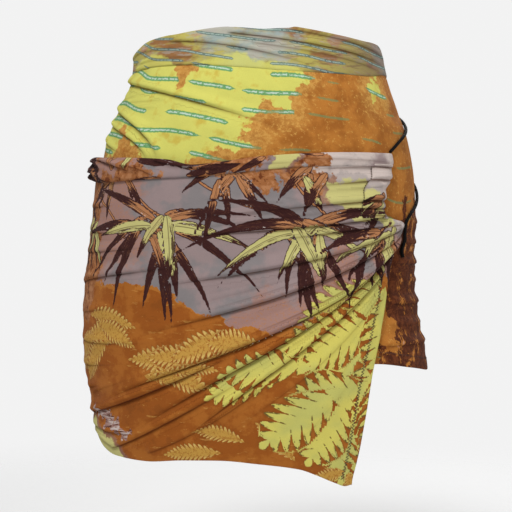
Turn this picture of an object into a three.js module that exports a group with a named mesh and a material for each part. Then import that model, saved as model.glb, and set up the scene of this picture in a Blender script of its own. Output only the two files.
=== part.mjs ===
// A wrap mini skirt in its worn shape, empty inside.
//
// A stretch tube with a doubled waistband is the under-skirt. Over it lies a wrap: it is sewn to the centre
// back, runs round the wrap side (-X) and ends on the tie side (+X) in a free front edge with a pulled-out
// tip and a long pointed corner. The wrap's top is folded over and rolled, and its front edge has a gathered
// channel for a cord. The cord runs round the tie side to the waistband at the back.
//
// Millimetres, +Z up, the front faces -Y. The origin is the middle of the waist, which the wearer holds.
// "around" is in degrees from the centre front: +90 is the tie side, -90 the wrap side, 180 the centre back.
import * as THREE from "three";

// Driving sizes
const CLOTH = 1.4; // one layer of jersey
const BAND_CLOTH = 2.4; // the waistband's two layers
const BAND_PROUD = 0.9; // the waistband stands out from the under-skirt by this
const SEAM = 0.3; // between pieces that are sewn together
const SIDE_TURN = 0.09; // half of a side seam's gap, in degrees
const CENTRE_BACK = -177; // where the wrap is sewn down
const CHANNEL_FULLNESS = 3.4; // the gathered channel stands out by this over its middle
const CORD_RADIUS = 1.7;
const CORD_CLEARANCE = 0.5; // between the cord and the cloth under it
const ROLL_CLEARANCE = 0.8; // between the rolled top and the under-skirt
const MM_PER_DEGREE = 2.6; // round the hips, on average

// How finely each piece is divided
const WAISTBAND_GRID = { columns: 56, rows: 2 };
const UNDER_FRONT_GRID = { columns: 34, rows: 17 };
const UNDER_BACK_GRID = { columns: 26, rows: 11 };
const WRAP_FRONT_GRID = { columns: 38, rows: 34 };
const WRAP_BACK_GRID = { columns: 16, rows: 14 };
const ROLL_GRID = { columns: 56, sides: 8 };
const CHANNEL_COLUMNS = 4; // of the wrap front's columns
const GATHERED_ROWS = 11; // of the wrap front's rows, beside the channel
const GATHERED_SHARE = 0.165; // of the wrap front's height
const UPPER_ROWS_CLOSER = 1.25; // the power that draws the under-skirt's rows up towards the waist
const FOLD_STEPS = 8; // straight steps along a fold's curve
const CORD_SIDES = 8;
const ROLL_SQUARENESS = 0.75; // under 1, the rolled top's section is fuller than an oval
const CORD_PLACES = 3; // between two rows of a cord's table

const table = (columns, ...rows) =>
  rows.map((row) => Object.fromEntries(columns.map((name, i) => [name, row[i]])));

// The under-skirt's outer half-widths and half-depths
const UNDER_SECTIONS = table(
  ["z", "wrapSide", "tieSide", "front", "back"],
  [-356, 184, 188, 110, 113],
  [-310, 179, 180, 107, 114],
  [-270, 175, 174, 105, 117],
  [-230, 174, 173, 105, 121],
  [-190, 174, 175, 106, 124],
  [-150, 172, 173.5, 106, 123],
  [-110, 166.5, 167.5, 104, 118],
  [-75, 154, 156, 100, 110],
  [-45, 141, 146, 95, 101],
  [-20, 134, 139, 90, 94],
  [12, 133, 135, 85, 89],
);

// The wrap's outer half-widths and half-depths
const WRAP_SECTIONS = table(
  ["z", "wrapSide", "tieSide", "front", "back"],
  [-470, 171, 174, 110, 109],
  [-420, 179, 184, 114, 113],
  [-384, 184, 190, 116, 116],
  [-358, 188, 192, 116, 117],
  [-331, 190.5, 188, 114.5, 118],
  [-296, 190, 183, 112.5, 119],
  [-261, 190, 178, 111.5, 122],
  [-226, 187, 176.5, 111.5, 125],
  [-190, 183, 177.5, 111.5, 127.5],
  [-150, 177, 175, 110.5, 126.5],
  [-100, 169, 167, 106.5, 120],
);

const WAIST_TOP = table(
  ["around", "z"],
  [-180, 2],
  [-115, -8],
  [-82, -12],
  [-58, -2],
  [-33, 2.6],
  [-12, 6.2],
  [4, 4],
  [18, 5.2],
  [40, 0.5],
  [55, -2],
  [72, -2.5],
  [90, -9],
  [120, -6],
  [180, 2],
);

const WAIST_SEAM = table(
  ["around", "z"],
  [-180, -37],
  [-90, -34],
  [-64, -31],
  [-30, -32],
  [-5, -36],
  [20, -40],
  [50, -40],
  [78, -34],
  [110, -34],
  [180, -37],
);

const UNDER_HEM = table(
  ["around", "z"],
  [-180, -350],
  [-90, -354],
  [-42, -341],
  [0, -338],
  [42, -341],
  [61, -347],
  [84, -353.5],
  [120, -353],
  [180, -350],
);

// The rolled top of the wrap: its upper and lower edges, and how far it stands out
const ROLL = table(
  ["around", "top", "bottom", "thick"],
  [-178, -126, -148, 4.5],
  [-140, -125, -148.5, 6],
  [-110, -124, -149, 9],
  [-92, -121.5, -145, 10.5],
  [-80, -123, -149.8, 11],
  [-66, -125.5, -152.5, 9],
  [-50, -127.5, -151.8, 7.5],
  [-32, -131, -150.6, 6.5],
  [-22, -137, -150, 6],
  [-12, -134.5, -147.5, 6],
  [0, -129.5, -143.8, 5.5],
  [15, -126, -139.8, 5],
  [30, -124.3, -138.3, 5],
  [45, -124, -137.4, 4.8],
  [56.4, -124.6, -137, 4.5],
);

// The wrap's lower edge, up to its pointed corner
const WRAP_HEM = table(
  ["around", "z"],
  [-178, -344],
  [-130, -351],
  [-105, -360],
  [-90, -374],
  [-82, -386],
  [-74, -408],
  [-70, -423],
  [-65, -433],
  [-58, -438.5],
  [-40, -441],
  [-25, -437.5],
  [-12, -436.5],
  [1, -439.8],
  [14, -445.5],
  [21, -453],
  [27, -460.5],
  [32, -465],
  [34.2, -464],
);

// The wrap's free front edge, with the pulled-out tip at -194 to -203
const WRAP_EDGE = table(
  ["z", "around"],
  [-464, 34.2],
  [-443, 35.1],
  [-390, 36.6],
  [-357, 38],
  [-332, 41],
  [-302, 45],
  [-276, 48.6],
  [-251, 51.3],
  [-238, 53],
  [-221, 57.3],
  [-205, 61.6],
  [-197, 61.8],
  [-194, 60.4],
  [-190, 50.5],
  [-184, 48.6],
  [-172, 48.6],
  [-161, 49.6],
  [-153, 52.5],
  [-145, 53.5],
  [-134, 55.2],
);

// Folds: each runs through three places, and stands out by its height. Its upper side slopes over its
// width and its lower side over LOWER_SIDE of that. It has risen by FOLD_RISEN of its way and sinks again
// from FOLD_SINKS on.
const LOWER_SIDE = 0.6;
const FOLD_RISEN = 0.12;
const FOLD_SINKS = 0.72;
const FOLD_COLUMNS = ["a1", "z1", "a2", "z2", "a3", "z3", "height", "width"];
const UNDER_FOLDS = table(
  FOLD_COLUMNS,
  [-95, -40, -46, -58, 2, -96, 4.2, 17], // drags from the wrap side
  [-95, -65, -53, -94, -37, -134, 4, 15],
  [-95, -82, -57, -104, -42, -134, 3.4, 12],
  [76, -237, 92, -238, 110, -234, 3.5, 13], // gathers in the side seam
  [72, -279, 90, -281, 108, -276, 4, 14],
  [70, -321, 90, -323, 112, -318, 3.5, 14],
  [118, -250, 165, -262, 215, -250, 3, 20], // soft rolls across the seat
  [125, -308, 180, -296, 238, -318, 3, 20],
);
const WRAP_FOLDS = table(
  FOLD_COLUMNS,
  [58, -207, 12, -268, -60, -318, 4.5, 17], // fan out from the tip
  [60, -211, 8, -303, -84, -396, 7, 19],
  [58, -216, 12, -310, -52, -424, 6, 17],
  [50, -240, 4, -352, -32, -436, 4.5, 15],
  [56, -199, 4, -243, -50, -268, 4, 18],
  [52, -186, 8, -212, -46, -214, 3.5, 16],
  [52, -172, 12, -184, -44, -190, 3.5, 14],
  [54, -149, 16, -166, -34, -170, 3.5, 13],
  [-92, -258, -70, -256, -20, -241, 3, 15], // drags from the wrap side
  [-92, -176, -80, -182, -58, -180, 2, 12],
  [-96, -392, -84, -394, -62, -391, 3.5, 12],
  [-94, -330, -82, -338, -62, -334, 2.2, 14],
  [54, -144, 46, -145, 36, -148, 2.4, 7], // gathers along the channel
  [52, -161, 44, -162, 32, -166, 3, 9],
  [49, -177, 43, -178, 31, -182, 2, 6],
  [49, -186, 43, -188, 30, -194, 2, 6],
  [-92, -208, -125, -214, -170, -196, 4, 18], // drags from the wrap side to the centre back
  [-92, -290, -130, -262, -172, -232, 4.5, 20],
  [-92, -366, -128, -318, -172, -282, 4.5, 18],
);

// The cord's places on the under-skirt, from the cloth that it leaves to where it ends
const UPPER_CORD = table(
  ["around", "z"],
  [55.4, -120.6],
  [61.5, -112],
  [70, -102],
  [82, -90],
  [94, -79],
  [112, -65],
  [132, -51.5],
  [149, -40.5],
);
const LOWER_CORD = table(
  ["around", "z"],
  [171, -42],
  [160, -64],
  [142, -95],
  [124, -118],
  [106, -138],
  [93, -154],
  [83, -168],
  [75, -178],
  [68, -186],
  [64.4, -195],
  [63.6, -205],
  [62.6, -214],
  [61.9, -222],
  [61.7, -231],
);

const CLOTHS = {
  ochre: new THREE.MeshStandardMaterial({ color: 0xb9782f, roughness: 0.85, metalness: 0 }),
  yellow: new THREE.MeshStandardMaterial({ color: 0xd9c35a, roughness: 0.85, metalness: 0 }),
  rust: new THREE.MeshStandardMaterial({ color: 0x9c5a26, roughness: 0.85, metalness: 0 }),
  mauve: new THREE.MeshStandardMaterial({ color: 0xa08f90, roughness: 0.85, metalness: 0 }),
  black: new THREE.MeshStandardMaterial({ color: 0x14110f, roughness: 0.6, metalness: 0 }),
};

// The smooth curve through a table's rows: the column's value where the key column is `at`. The slope at a
// row is the harmonic mean of its neighbours', and level at a turning point, so the curve never overshoots.
function along(rows, key, column, at) {
  const last = rows.length - 1;
  if (at <= rows[0][key]) return rows[0][column];
  if (at >= rows[last][key]) return rows[last][column];
  const secant = (i) => (rows[i + 1][column] - rows[i][column]) / (rows[i + 1][key] - rows[i][key]);
  const slope = (i) => {
    if (i === 0 || i === last) return 0;
    const [before, after] = [secant(i - 1), secant(i)];
    return before * after > 0 ? (2 * before * after) / (before + after) : 0;
  };
  const i = rows.findIndex((row) => row[key] > at) - 1;
  const step = rows[i + 1][key] - rows[i][key];
  const t = (at - rows[i][key]) / step;
  const risen = t * t * (3 - 2 * t);
  return (
    rows[i][column] * (1 - risen) +
    rows[i + 1][column] * risen +
    step * t * (1 - t) * ((1 - t) * slope(i) - t * slope(i + 1))
  );
}

// A place on a body of elliptical sections, moved straight out by `out`
function onBody(sections, around, z, out) {
  const turn = THREE.MathUtils.degToRad(around);
  const across = along(sections, "z", Math.sin(turn) > 0 ? "tieSide" : "wrapSide", z);
  const deep = along(sections, "z", Math.cos(turn) > 0 ? "front" : "back", z);
  const point = new THREE.Vector3(across * Math.sin(turn), -deep * Math.cos(turn), z);
  const outward = new THREE.Vector3(point.x / across ** 2, point.y / deep ** 2, 0).normalize();
  return point.addScaledVector(outward, out);
}

const flat = (around, z) => new THREE.Vector2(around * MM_PER_DEGREE, z);

// A fold's curve, as straight steps on the unrolled cloth: the parabola through its three places
function foldPath({ a1, z1, a2, z2, a3, z3 }) {
  const [start, middle, end] = [flat(a1, z1), flat(a2, z2), flat(a3, z3)];
  return Array.from({ length: FOLD_STEPS + 1 }, (_, i) => {
    const t = i / FOLD_STEPS;
    return new THREE.Vector2()
      .addScaledVector(start, (1 - t) * (1 - 2 * t))
      .addScaledVector(middle, 4 * t * (1 - t))
      .addScaledVector(end, t * (2 * t - 1));
  });
}

for (const fold of [...UNDER_FOLDS, ...WRAP_FOLDS]) fold.path = foldPath(fold);

// How far one fold lifts the cloth at a place: a smooth ridge that dies away at both ends
function ridge({ path, height, width }, place) {
  let nearest = { distance: Infinity };
  for (let i = 0; i < FOLD_STEPS; i++) {
    const step = path[i + 1].clone().sub(path[i]);
    const share = place.clone().sub(path[i]).dot(step) / step.lengthSq();
    const t = THREE.MathUtils.clamp(share, 0, 1);
    const away = place.clone().sub(path[i]).addScaledVector(step, -t);
    if (away.length() < nearest.distance)
      nearest = { distance: away.length(), above: away.y > 0, t: (i + t) / FOLD_STEPS };
  }
  const reach = nearest.above ? width : width * LOWER_SIDE;
  const share = Math.min(nearest.distance / reach, 1);
  const { smoothstep } = THREE.MathUtils;
  const ends = smoothstep(nearest.t, 0, FOLD_RISEN) * (1 - smoothstep(nearest.t, FOLD_SINKS, 1));
  return height * ends * (1 - share ** 2) ** 2;
}

const lift = (folds, around, z) =>
  folds.reduce((sum, fold) => sum + ridge(fold, flat(around, z)), 0);

// The cloth's outer faces
const underSurface = (around, z, out = 0) =>
  onBody(UNDER_SECTIONS, around, z, out + lift(UNDER_FOLDS, around, z));
const wrapSurface = (around, z, out = 0) =>
  onBody(WRAP_SECTIONS, around, z, out + lift(WRAP_FOLDS, around, z));

function solid(name, material, points, faces) {
  const geometry = new THREE.BufferGeometry().setFromPoints(points);
  geometry.setIndex(faces.flat());
  geometry.computeVertexNormals();
  const mesh = new THREE.Mesh(geometry, material);
  mesh.name = name;
  return mesh;
}

// A closed cloth wall over a grid, columns going round towards the tie side and rows going down.
// place(column, row, outer) gives its outer or inner point. A ring's last column is its first.
function clothWall(name, material, { columns, rows }, place, ring = false) {
  const lines = ring ? columns : columns + 1;
  const points = [];
  for (const outer of [true, false])
    for (let c = 0; c < lines; c++) for (let r = 0; r <= rows; r++) points.push(place(c, r, outer));
  const outside = (c, r) => (c % lines) * (rows + 1) + r;
  const inside = (c, r) => outside(c, r) + lines * (rows + 1);
  const faces = [];
  const quad = (a, b, c, d) => faces.push([a, b, c], [a, c, d]);
  for (let c = 0; c < columns; c++) {
    for (let r = 0; r < rows; r++) {
      quad(outside(c, r + 1), outside(c + 1, r + 1), outside(c + 1, r), outside(c, r));
      quad(inside(c + 1, r), inside(c + 1, r + 1), inside(c, r + 1), inside(c, r));
    }
    quad(outside(c, 0), outside(c + 1, 0), inside(c + 1, 0), inside(c, 0));
    quad(inside(c, rows), inside(c + 1, rows), outside(c + 1, rows), outside(c, rows));
  }
  if (!ring)
    for (let r = 0; r < rows; r++) {
      quad(outside(0, r), inside(0, r), inside(0, r + 1), outside(0, r + 1));
      quad(inside(columns, r), outside(columns, r), outside(columns, r + 1), inside(columns, r + 1));
    }
  return solid(name, material, points, faces);
}

const mix = THREE.MathUtils.lerp;

// The doubled band round the waist
function waistband() {
  const { columns, rows } = WAISTBAND_GRID;
  const place = (column, row, outer) => {
    const around = -180 + (360 * column) / columns;
    const [top, seam] = [WAIST_TOP, WAIST_SEAM].map((edge) => along(edge, "around", "z", around));
    const z = mix(top, seam, row / rows);
    return onBody(UNDER_SECTIONS, around, z, BAND_PROUD - (outer ? 0 : BAND_CLOTH));
  };
  return clothWall("waistband", CLOTHS.yellow, WAISTBAND_GRID, place, true);
}

// One panel of the tube between its side seams, from the waist seam to the hem
function underPanel(name, grid, from, to) {
  const place = (column, row, outer) => {
    const around = mix(from, to, column / grid.columns);
    const bearing = around > 180 ? around - 360 : around;
    const top = along(WAIST_SEAM, "around", "z", bearing) - SEAM;
    const z = mix(top, along(UNDER_HEM, "around", "z", bearing), (row / grid.rows) ** UPPER_ROWS_CLOSER);
    return underSurface(around, z, outer ? 0 : -CLOTH);
  };
  return clothWall(name, CLOTHS.ochre, grid, place);
}

// The share of the wrap front's height at each of its rows, which lie closer beside the channel
function wrapFrontShare(row) {
  if (row <= GATHERED_ROWS) return (GATHERED_SHARE * row) / GATHERED_ROWS;
  const rest = (row - GATHERED_ROWS) / (WRAP_FRONT_GRID.rows - GATHERED_ROWS);
  return mix(GATHERED_SHARE, 1, rest);
}

const wrapTop = (around) => along(ROLL, "around", "bottom", around) - SEAM;
const wrapHem = (around) => along(WRAP_HEM, "around", "z", around);

// The wrap front's place at a column and row, between the wrap side's seam and the free edge
function wrapFrontPlace(column, row, out) {
  const share = wrapFrontShare(row);
  const edgeZ = mix(wrapTop(WRAP_EDGE.at(-1).around), WRAP_EDGE[0].z, share);
  const edge = along(WRAP_EDGE, "z", "around", edgeZ);
  const around = mix(-90 + SIDE_TURN, edge, column / WRAP_FRONT_GRID.columns);
  return wrapSurface(around, mix(wrapTop(around), wrapHem(around), share), out);
}

const wrapFront = () =>
  clothWall("wrap_front", CLOTHS.mauve, WRAP_FRONT_GRID, (column, row, outer) =>
    wrapFrontPlace(column, row, outer ? 0 : -CLOTH),
  );

// The wrap's back panel, from the centre back to the wrap side's seam
function wrapBack() {
  const place = (column, row, outer) => {
    const around = mix(CENTRE_BACK, -90 - SIDE_TURN, column / WRAP_BACK_GRID.columns);
    const z = mix(wrapTop(around), wrapHem(around), row / WRAP_BACK_GRID.rows);
    return wrapSurface(around, z, outer ? 0 : -CLOTH);
  };
  return clothWall("wrap_back", CLOTHS.rust, WRAP_BACK_GRID, place);
}

// The gathered channel that lies on the wrap's front edge, made from the wrap front's own points
function cordChannel() {
  const first = WRAP_FRONT_GRID.columns - CHANNEL_COLUMNS;
  const place = (column, row, outer) => {
    const puff = CHANNEL_FULLNESS * Math.sin((Math.PI * column) / CHANNEL_COLUMNS);
    return wrapFrontPlace(first + column, row, SEAM + (outer ? CLOTH + puff : 0));
  };
  const grid = { columns: CHANNEL_COLUMNS, rows: GATHERED_ROWS - 1 };
  return clothWall("cord_channel", CLOTHS.mauve, grid, place);
}

// The wrap's top, folded over and rolled: a flattened oval carried round from the centre back to the edge
function foldedTop() {
  const { columns, sides } = ROLL_GRID;
  const squarish = (wave) => Math.sign(wave) * Math.abs(wave) ** ROLL_SQUARENESS;
  const points = [];
  for (let c = 0; c <= columns; c++) {
    const around = mix(CENTRE_BACK, ROLL.at(-1).around, c / columns);
    const [top, bottom, thick] = ["top", "bottom", "thick"].map((size) =>
      along(ROLL, "around", size, around),
    );
    for (let s = 0; s < sides; s++) {
      const turn = (2 * Math.PI * s) / sides;
      const z = mix(bottom, top, 0.5 + 0.5 * squarish(Math.sin(turn)));
      const out = ROLL_CLEARANCE + thick * (0.5 + 0.5 * squarish(Math.cos(turn)));
      points.push(underSurface(around, z, out));
    }
  }
  const at = (c, s) => c * sides + (s % sides);
  const faces = [];
  for (let s = 0; s < sides; s++)
    for (let c = 0; c < columns; c++)
      faces.push([at(c, s), at(c + 1, s), at(c + 1, s + 1)], [at(c, s), at(c + 1, s + 1), at(c, s + 1)]);
  for (let s = 1; s < sides - 1; s++)
    faces.push([at(0, 0), at(0, s), at(0, s + 1)], [at(columns, 0), at(columns, s + 1), at(columns, s)]);
  return solid("fold_band", CLOTHS.mauve, points, faces);
}

// A stretch of the cord, lying on the under-skirt through its places
function cord(name, places, steps) {
  const plan = new THREE.SplineCurve(places.map(({ around, z }) => flat(around, z)));
  const laid = ({ x, y }) => underSurface(x / MM_PER_DEGREE, y, CORD_CLEARANCE + CORD_RADIUS);
  const route = new THREE.CatmullRomCurve3(plan.getPoints(CORD_PLACES * (places.length - 1)).map(laid));
  const section = new THREE.Shape().absarc(0, 0, CORD_RADIUS, 0, 2 * Math.PI);
  const geometry = new THREE.ExtrudeGeometry(section, {
    extrudePath: route,
    steps,
    curveSegments: CORD_SIDES,
  });
  const mesh = new THREE.Mesh(geometry, CLOTHS.black);
  mesh.name = name;
  return mesh;
}

const skirt = new THREE.Group();
skirt.add(
  waistband(),
  underPanel("under_front", UNDER_FRONT_GRID, -90 + SIDE_TURN, 90 - SIDE_TURN),
  underPanel("under_back", UNDER_BACK_GRID, 90 + SIDE_TURN, 270 - SIDE_TURN),
  wrapFront(),
  wrapBack(),
  foldedTop(),
  cordChannel(),
  cord("cord_upper", UPPER_CORD, 24),
  cord("cord_lower", LOWER_CORD, 34),
);

export default skirt;
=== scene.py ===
"""A printed jersey wrap mini skirt in its worn shape, empty inside.

The cloth pieces are thin shells on the solids' form, with their folds, prints and stitches. Tables and
lengths are in millimetres and are turned into metres when a mesh is made. "around" is in degrees from the
centre front: +90 is the tie side (+X), -90 the wrap side (-X) and 180 the centre back.
"""
import math
from functools import partialmethod

import bpy
import numpy as np
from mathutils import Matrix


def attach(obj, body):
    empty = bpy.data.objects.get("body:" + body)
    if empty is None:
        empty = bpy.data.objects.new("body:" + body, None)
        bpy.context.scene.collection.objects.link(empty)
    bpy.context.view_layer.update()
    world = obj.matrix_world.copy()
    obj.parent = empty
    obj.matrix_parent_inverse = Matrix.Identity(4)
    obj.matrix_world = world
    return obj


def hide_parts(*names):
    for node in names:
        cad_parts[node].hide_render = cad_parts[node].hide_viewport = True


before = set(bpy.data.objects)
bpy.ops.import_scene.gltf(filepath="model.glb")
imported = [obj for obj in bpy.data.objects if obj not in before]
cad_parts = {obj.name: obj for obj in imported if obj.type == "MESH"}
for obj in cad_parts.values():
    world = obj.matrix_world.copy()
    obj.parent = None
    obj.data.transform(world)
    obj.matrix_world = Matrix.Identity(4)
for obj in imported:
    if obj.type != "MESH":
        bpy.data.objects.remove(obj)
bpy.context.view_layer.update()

MM = 0.001
MM_PER_DEGREE = 2.6  # round the hips, on average
JERSEY = 0.9  # one layer of cloth
TURNED = 0.7  # how much thicker it is where a hem is turned under it
HEM_TURN = 13.0  # how much cloth a hem turns under
UNDER_HEM_PROUD, WRAP_HEM_PROUD = 0.25, 0.3  # how far the cloth stands out over its turned hem
BAND_PROUD = 0.9  # the waistband stands out from the under-skirt by this
BAND_CLOTH = 2.2  # the waistband's two layers
BAND_CROWN = 0.7
BAND_FADES = 80.0  # how soon the yellow below gives way up the band
SEAM_SIDE = 0.09  # half of a side seam's gap, in degrees
CENTRE_BACK = -177.0
CORD_RADIUS = 1.7
CORD_CLEARANCE = 0.5
ROLL_CLEARANCE = 0.8
ROLL_SAG = 0.16  # how much fuller the roll is at its lower lip, as a share of its thickness
TWIST, STRAND = 3.2, 3.8  # how deep and how wide the twisted strands are where the rolled top is bunched
ROLLED_AWAY = 34.0  # how much cloth is hidden in the roll
ROLL_CLOSES = 0.014  # the share of the rolled top over which its end by the cord closes
SEAM_HOLD, SEAM_SPREAD, SEAM_TIGHT = 0.6, 16.0, 2.0  # how the wrap side's seam flattens folds near it
EDGE_COLUMNS = 0.84  # from this share of the wrap front's columns on, they turn to its free edge
CHANNEL_FULLNESS, CHANNEL_PINCH, PINCH_WIDTH = 4.2, 0.72, 2.1
CHANNEL_HEAD, CHANNEL_FOOT = -126.0, -190.5
CHANNEL_PRINT = 14.0  # how far the channel's print is shifted from the cloth beside it
CHANNEL_TOP_AT = 50.0  # the direction in which the channel's top is read off the roll
CHANNEL_UNDER_ROLL, CHANNEL_CLEARANCE = 2.0, 0.5
CHANNEL_LAP = 0.3  # past the free edge, in degrees
WAIST_GAP = 0.3  # between the under-skirt and the line of the waist's seam
WRAP_UNDER_ROLL = 3.0
RISE_OVER_CORD = 1.5  # of the wrap near its tip
RISE_AROUND, RISE_WIDTH = 63, 2.6  # in degrees
RISE_Z, RISE_HEIGHT = -199, 9
BUNCH_AT, BUNCH_WIDTH = -86, 24  # where the rolled top is bunched, in degrees
STRAND_SLOPE, STRAND_SWAY, SWAY_LENGTH = 0.42, 0.9, 19
ROLL_END_HEIGHT, ROLL_END_THICK = 0.6, 0.3  # the shares of its size that the roll closes to
OVAL_UPRIGHT, OVAL_DEEP = 0.7, 0.6  # powers: 1 is a plain oval, and less is squarer
# Columns and rows of each piece's surface
BAND_GRID = (300, 22)
UNDER_FRONT_GRID, UNDER_BACK_GRID = (200, 160), (180, 140)
WRAP_FRONT_GRID, WRAP_BACK_GRID = (222, 206), (120, 120)
ROLL_GRID, CHANNEL_GRID = (420, 40), (30, 110)
CORD_SIDES = 12
# How far each row of stitches lies from where the turned cloth ends, from the channel's seam or from the
# centre back, and how far out from the cloth
EDGE_INSET, EDGE_STITCH_OUT = 2.0, 0.35
CHANNEL_INSET, CHANNEL_STITCH_OUT = 0.8, 0.6
HEM_INSET, HEM_STITCH_OUT = 1.5, 0.3
BACK_INSET, BACK_STITCH_OUT = 4.0, 0.1
SEED = 11


# ---- Tables and curves


def table(columns, *rows):
    """The table's columns, each as an array, by name."""
    return {name: np.array(values, float) for name, values in zip(columns.split(), zip(*rows))}


def rows_of(columns):
    """The table's rows, each as a dictionary of its values."""
    return [dict(zip(columns, values)) for values in zip(*columns.values())]


def mix(low, high, share):
    return low * (1 - share) + high * share


def smoothstep(value, low, high):
    """0 below low, 1 above high and the cubic 3t^2 - 2t^3 between them."""
    t = np.clip((value - low) / (high - low), 0.0, 1.0)
    return t * t * (3 - 2 * t)


def along(rows, key, column, at):
    """The smooth curve through a table's rows: a cubic in each step, whose slope at a row is the harmonic
    mean of the slopes beside it, or level at a turning point, so that it never overshoots."""
    x, y = rows[key], rows[column]
    at = np.clip(at, x[0], x[-1])
    secant = np.diff(y) / np.diff(x)
    product, total = secant[:-1] * secant[1:], secant[:-1] + secant[1:]
    slope = np.zeros_like(y)
    slope[1:-1] = np.where(product > 0, 2 * product / np.where(product > 0, total, 1), 0)
    i = np.clip(np.searchsorted(x, at, side="right") - 1, 0, len(x) - 2)
    step = x[i + 1] - x[i]
    t = (at - x[i]) / step
    risen = t * t * (3 - 2 * t)
    bow = step * t * (1 - t) * ((1 - t) * slope[i] - t * slope[i + 1])
    return y[i] * (1 - risen) + y[i + 1] * risen + bow


UNDER_SECTIONS = table(
    "z wrap_side tie_side front back",
    (-356, 184, 188, 110, 113), (-310, 179, 180, 107, 114), (-270, 175, 174, 105, 117),
    (-230, 174, 173, 105, 121), (-190, 174, 175, 106, 124), (-150, 171, 173.5, 106, 123),
    (-110, 164.5, 167.5, 104, 118), (-75, 151.5, 156, 100, 110), (-45, 138, 146, 95, 101),
    (-20, 133, 139, 90, 94), (12, 133, 135, 85, 89),
)
WRAP_SECTIONS = table(
    "z wrap_side tie_side front back",
    (-470, 171, 174, 110, 109), (-420, 179, 184, 114, 113), (-384, 181.5, 190, 116, 116),
    (-358, 186.5, 192, 116, 117), (-331, 189.5, 188, 114.5, 118), (-296, 190, 183, 112.5, 119),
    (-261, 188.5, 178, 111.5, 122), (-226, 184.5, 176.5, 111.5, 125), (-190, 180.5, 177.5, 111.5, 127.5),
    (-150, 177, 175, 110.5, 126.5), (-100, 169, 167, 106.5, 120),
)
WAIST_TOP = table(
    "around z",
    (-180, 2), (-115, -8), (-82, -12), (-58, -2), (-33, 2.6), (-12, 6.2), (4, 4), (18, 5.2), (40, 0.5),
    (55, -2), (72, -2.5), (90, -9), (120, -6), (180, 2),
)
WAIST_SEAM = table(
    "around z",
    (-180, -37), (-90, -34), (-64, -31), (-30, -32), (-5, -36), (20, -40), (50, -40), (78, -34),
    (110, -34), (180, -37),
)
UNDER_HEM = table(
    "around z",
    (-180, -350), (-90, -354), (-42, -341), (0, -338), (42, -341), (61, -347), (84, -352.7), (120, -352.6),
    (180, -350),
)
ROLL = table(
    "around top bottom thick",
    (-178, -126, -148, 4.5), (-140, -125, -148.5, 6), (-110, -124, -149, 9), (-92, -121.5, -142.5, 8.5),
    (-80, -123, -148.6, 10), (-66, -125.5, -152.5, 9), (-50, -127.5, -151.8, 7.5),
    (-32, -131, -150.6, 6.5), (-22, -137, -150, 6), (-12, -134.5, -147.5, 6), (0, -129.5, -143.8, 5.5),
    (15, -126, -139.8, 5), (30, -123.8, -138.3, 5), (45, -122.8, -137.4, 4.8), (56.4, -122.4, -137, 4.5),
)
WRAP_HEM = table(
    "around z",
    (-178, -344), (-130, -351), (-105, -360), (-90, -374), (-82, -386), (-74, -408), (-70, -423),
    (-65, -433), (-58, -438.5), (-40, -441), (-25, -437.5), (-12, -436.5), (1, -439.8), (14, -445.5),
    (21, -453), (27, -460.5), (32, -465), (34.2, -464),
)
WRAP_EDGE = table(
    "z around",
    (-464, 34.2), (-443, 35.1), (-390, 36.6), (-357, 38), (-332, 41), (-302, 45), (-276, 48.6),
    (-251, 51.3), (-238, 53), (-221, 55.8), (-205, 59.8), (-197, 61.6), (-194, 60.4), (-190, 50.5),
    (-184, 48.6), (-172, 48.6), (-161, 49.6), (-153, 52.5), (-145, 53.5), (-134, 55.2),
)

# The free edge without its tip and notch, which the columns inside the panel follow
WRAP_TREND = table(
    "z around",
    (-464, 34.2), (-390, 36.6), (-332, 41), (-276, 48.6), (-225, 56), (-185, 57.4), (-134, 55.2),
)
CHANNEL_SEAM = table(
    "z around",
    (-190, 37.5), (-172, 38.4), (-160, 39.3), (-150, 42.4), (-137, 43.7), (-126, 44.5),
)


# ---- Folds


def folds(*rows):
    """A table of folds, which run along their crease, through three places. sharp is 1 for a ridge that
    drops steeply to its crease and 0 for a soft roll; swallow is how much of the print the crease hides."""
    return table("a1 z1 a2 z2 a3 z3 height width sharp swallow", *rows)


def pull_folds(pivot, target, count, seed):
    """Small uneven folds, as rows for a table, that fan out from near the pivot towards places on the line
    between two targets: (around, z) each."""
    draw = np.random.default_rng(seed)
    first, last = np.array(target, float)
    rows = []
    for i in range(count):
        share = (i + draw.uniform(0.1, 0.9)) / count
        far = mix(first, last, share)
        start, end = draw.uniform(0.04, 0.3), draw.uniform(0.45, 1.0)
        a, b = mix(np.array(pivot, float), far, start), mix(np.array(pivot, float), far, end)
        middle = (a + b) / 2 + [0, draw.uniform(-4, 2)]
        size, width = draw.uniform(0.5, 1.5), draw.uniform(5, 9)
        rows.append((*a, *middle, *b, size, width, draw.uniform(0.4, 0.9), 0))
    return rows


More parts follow.
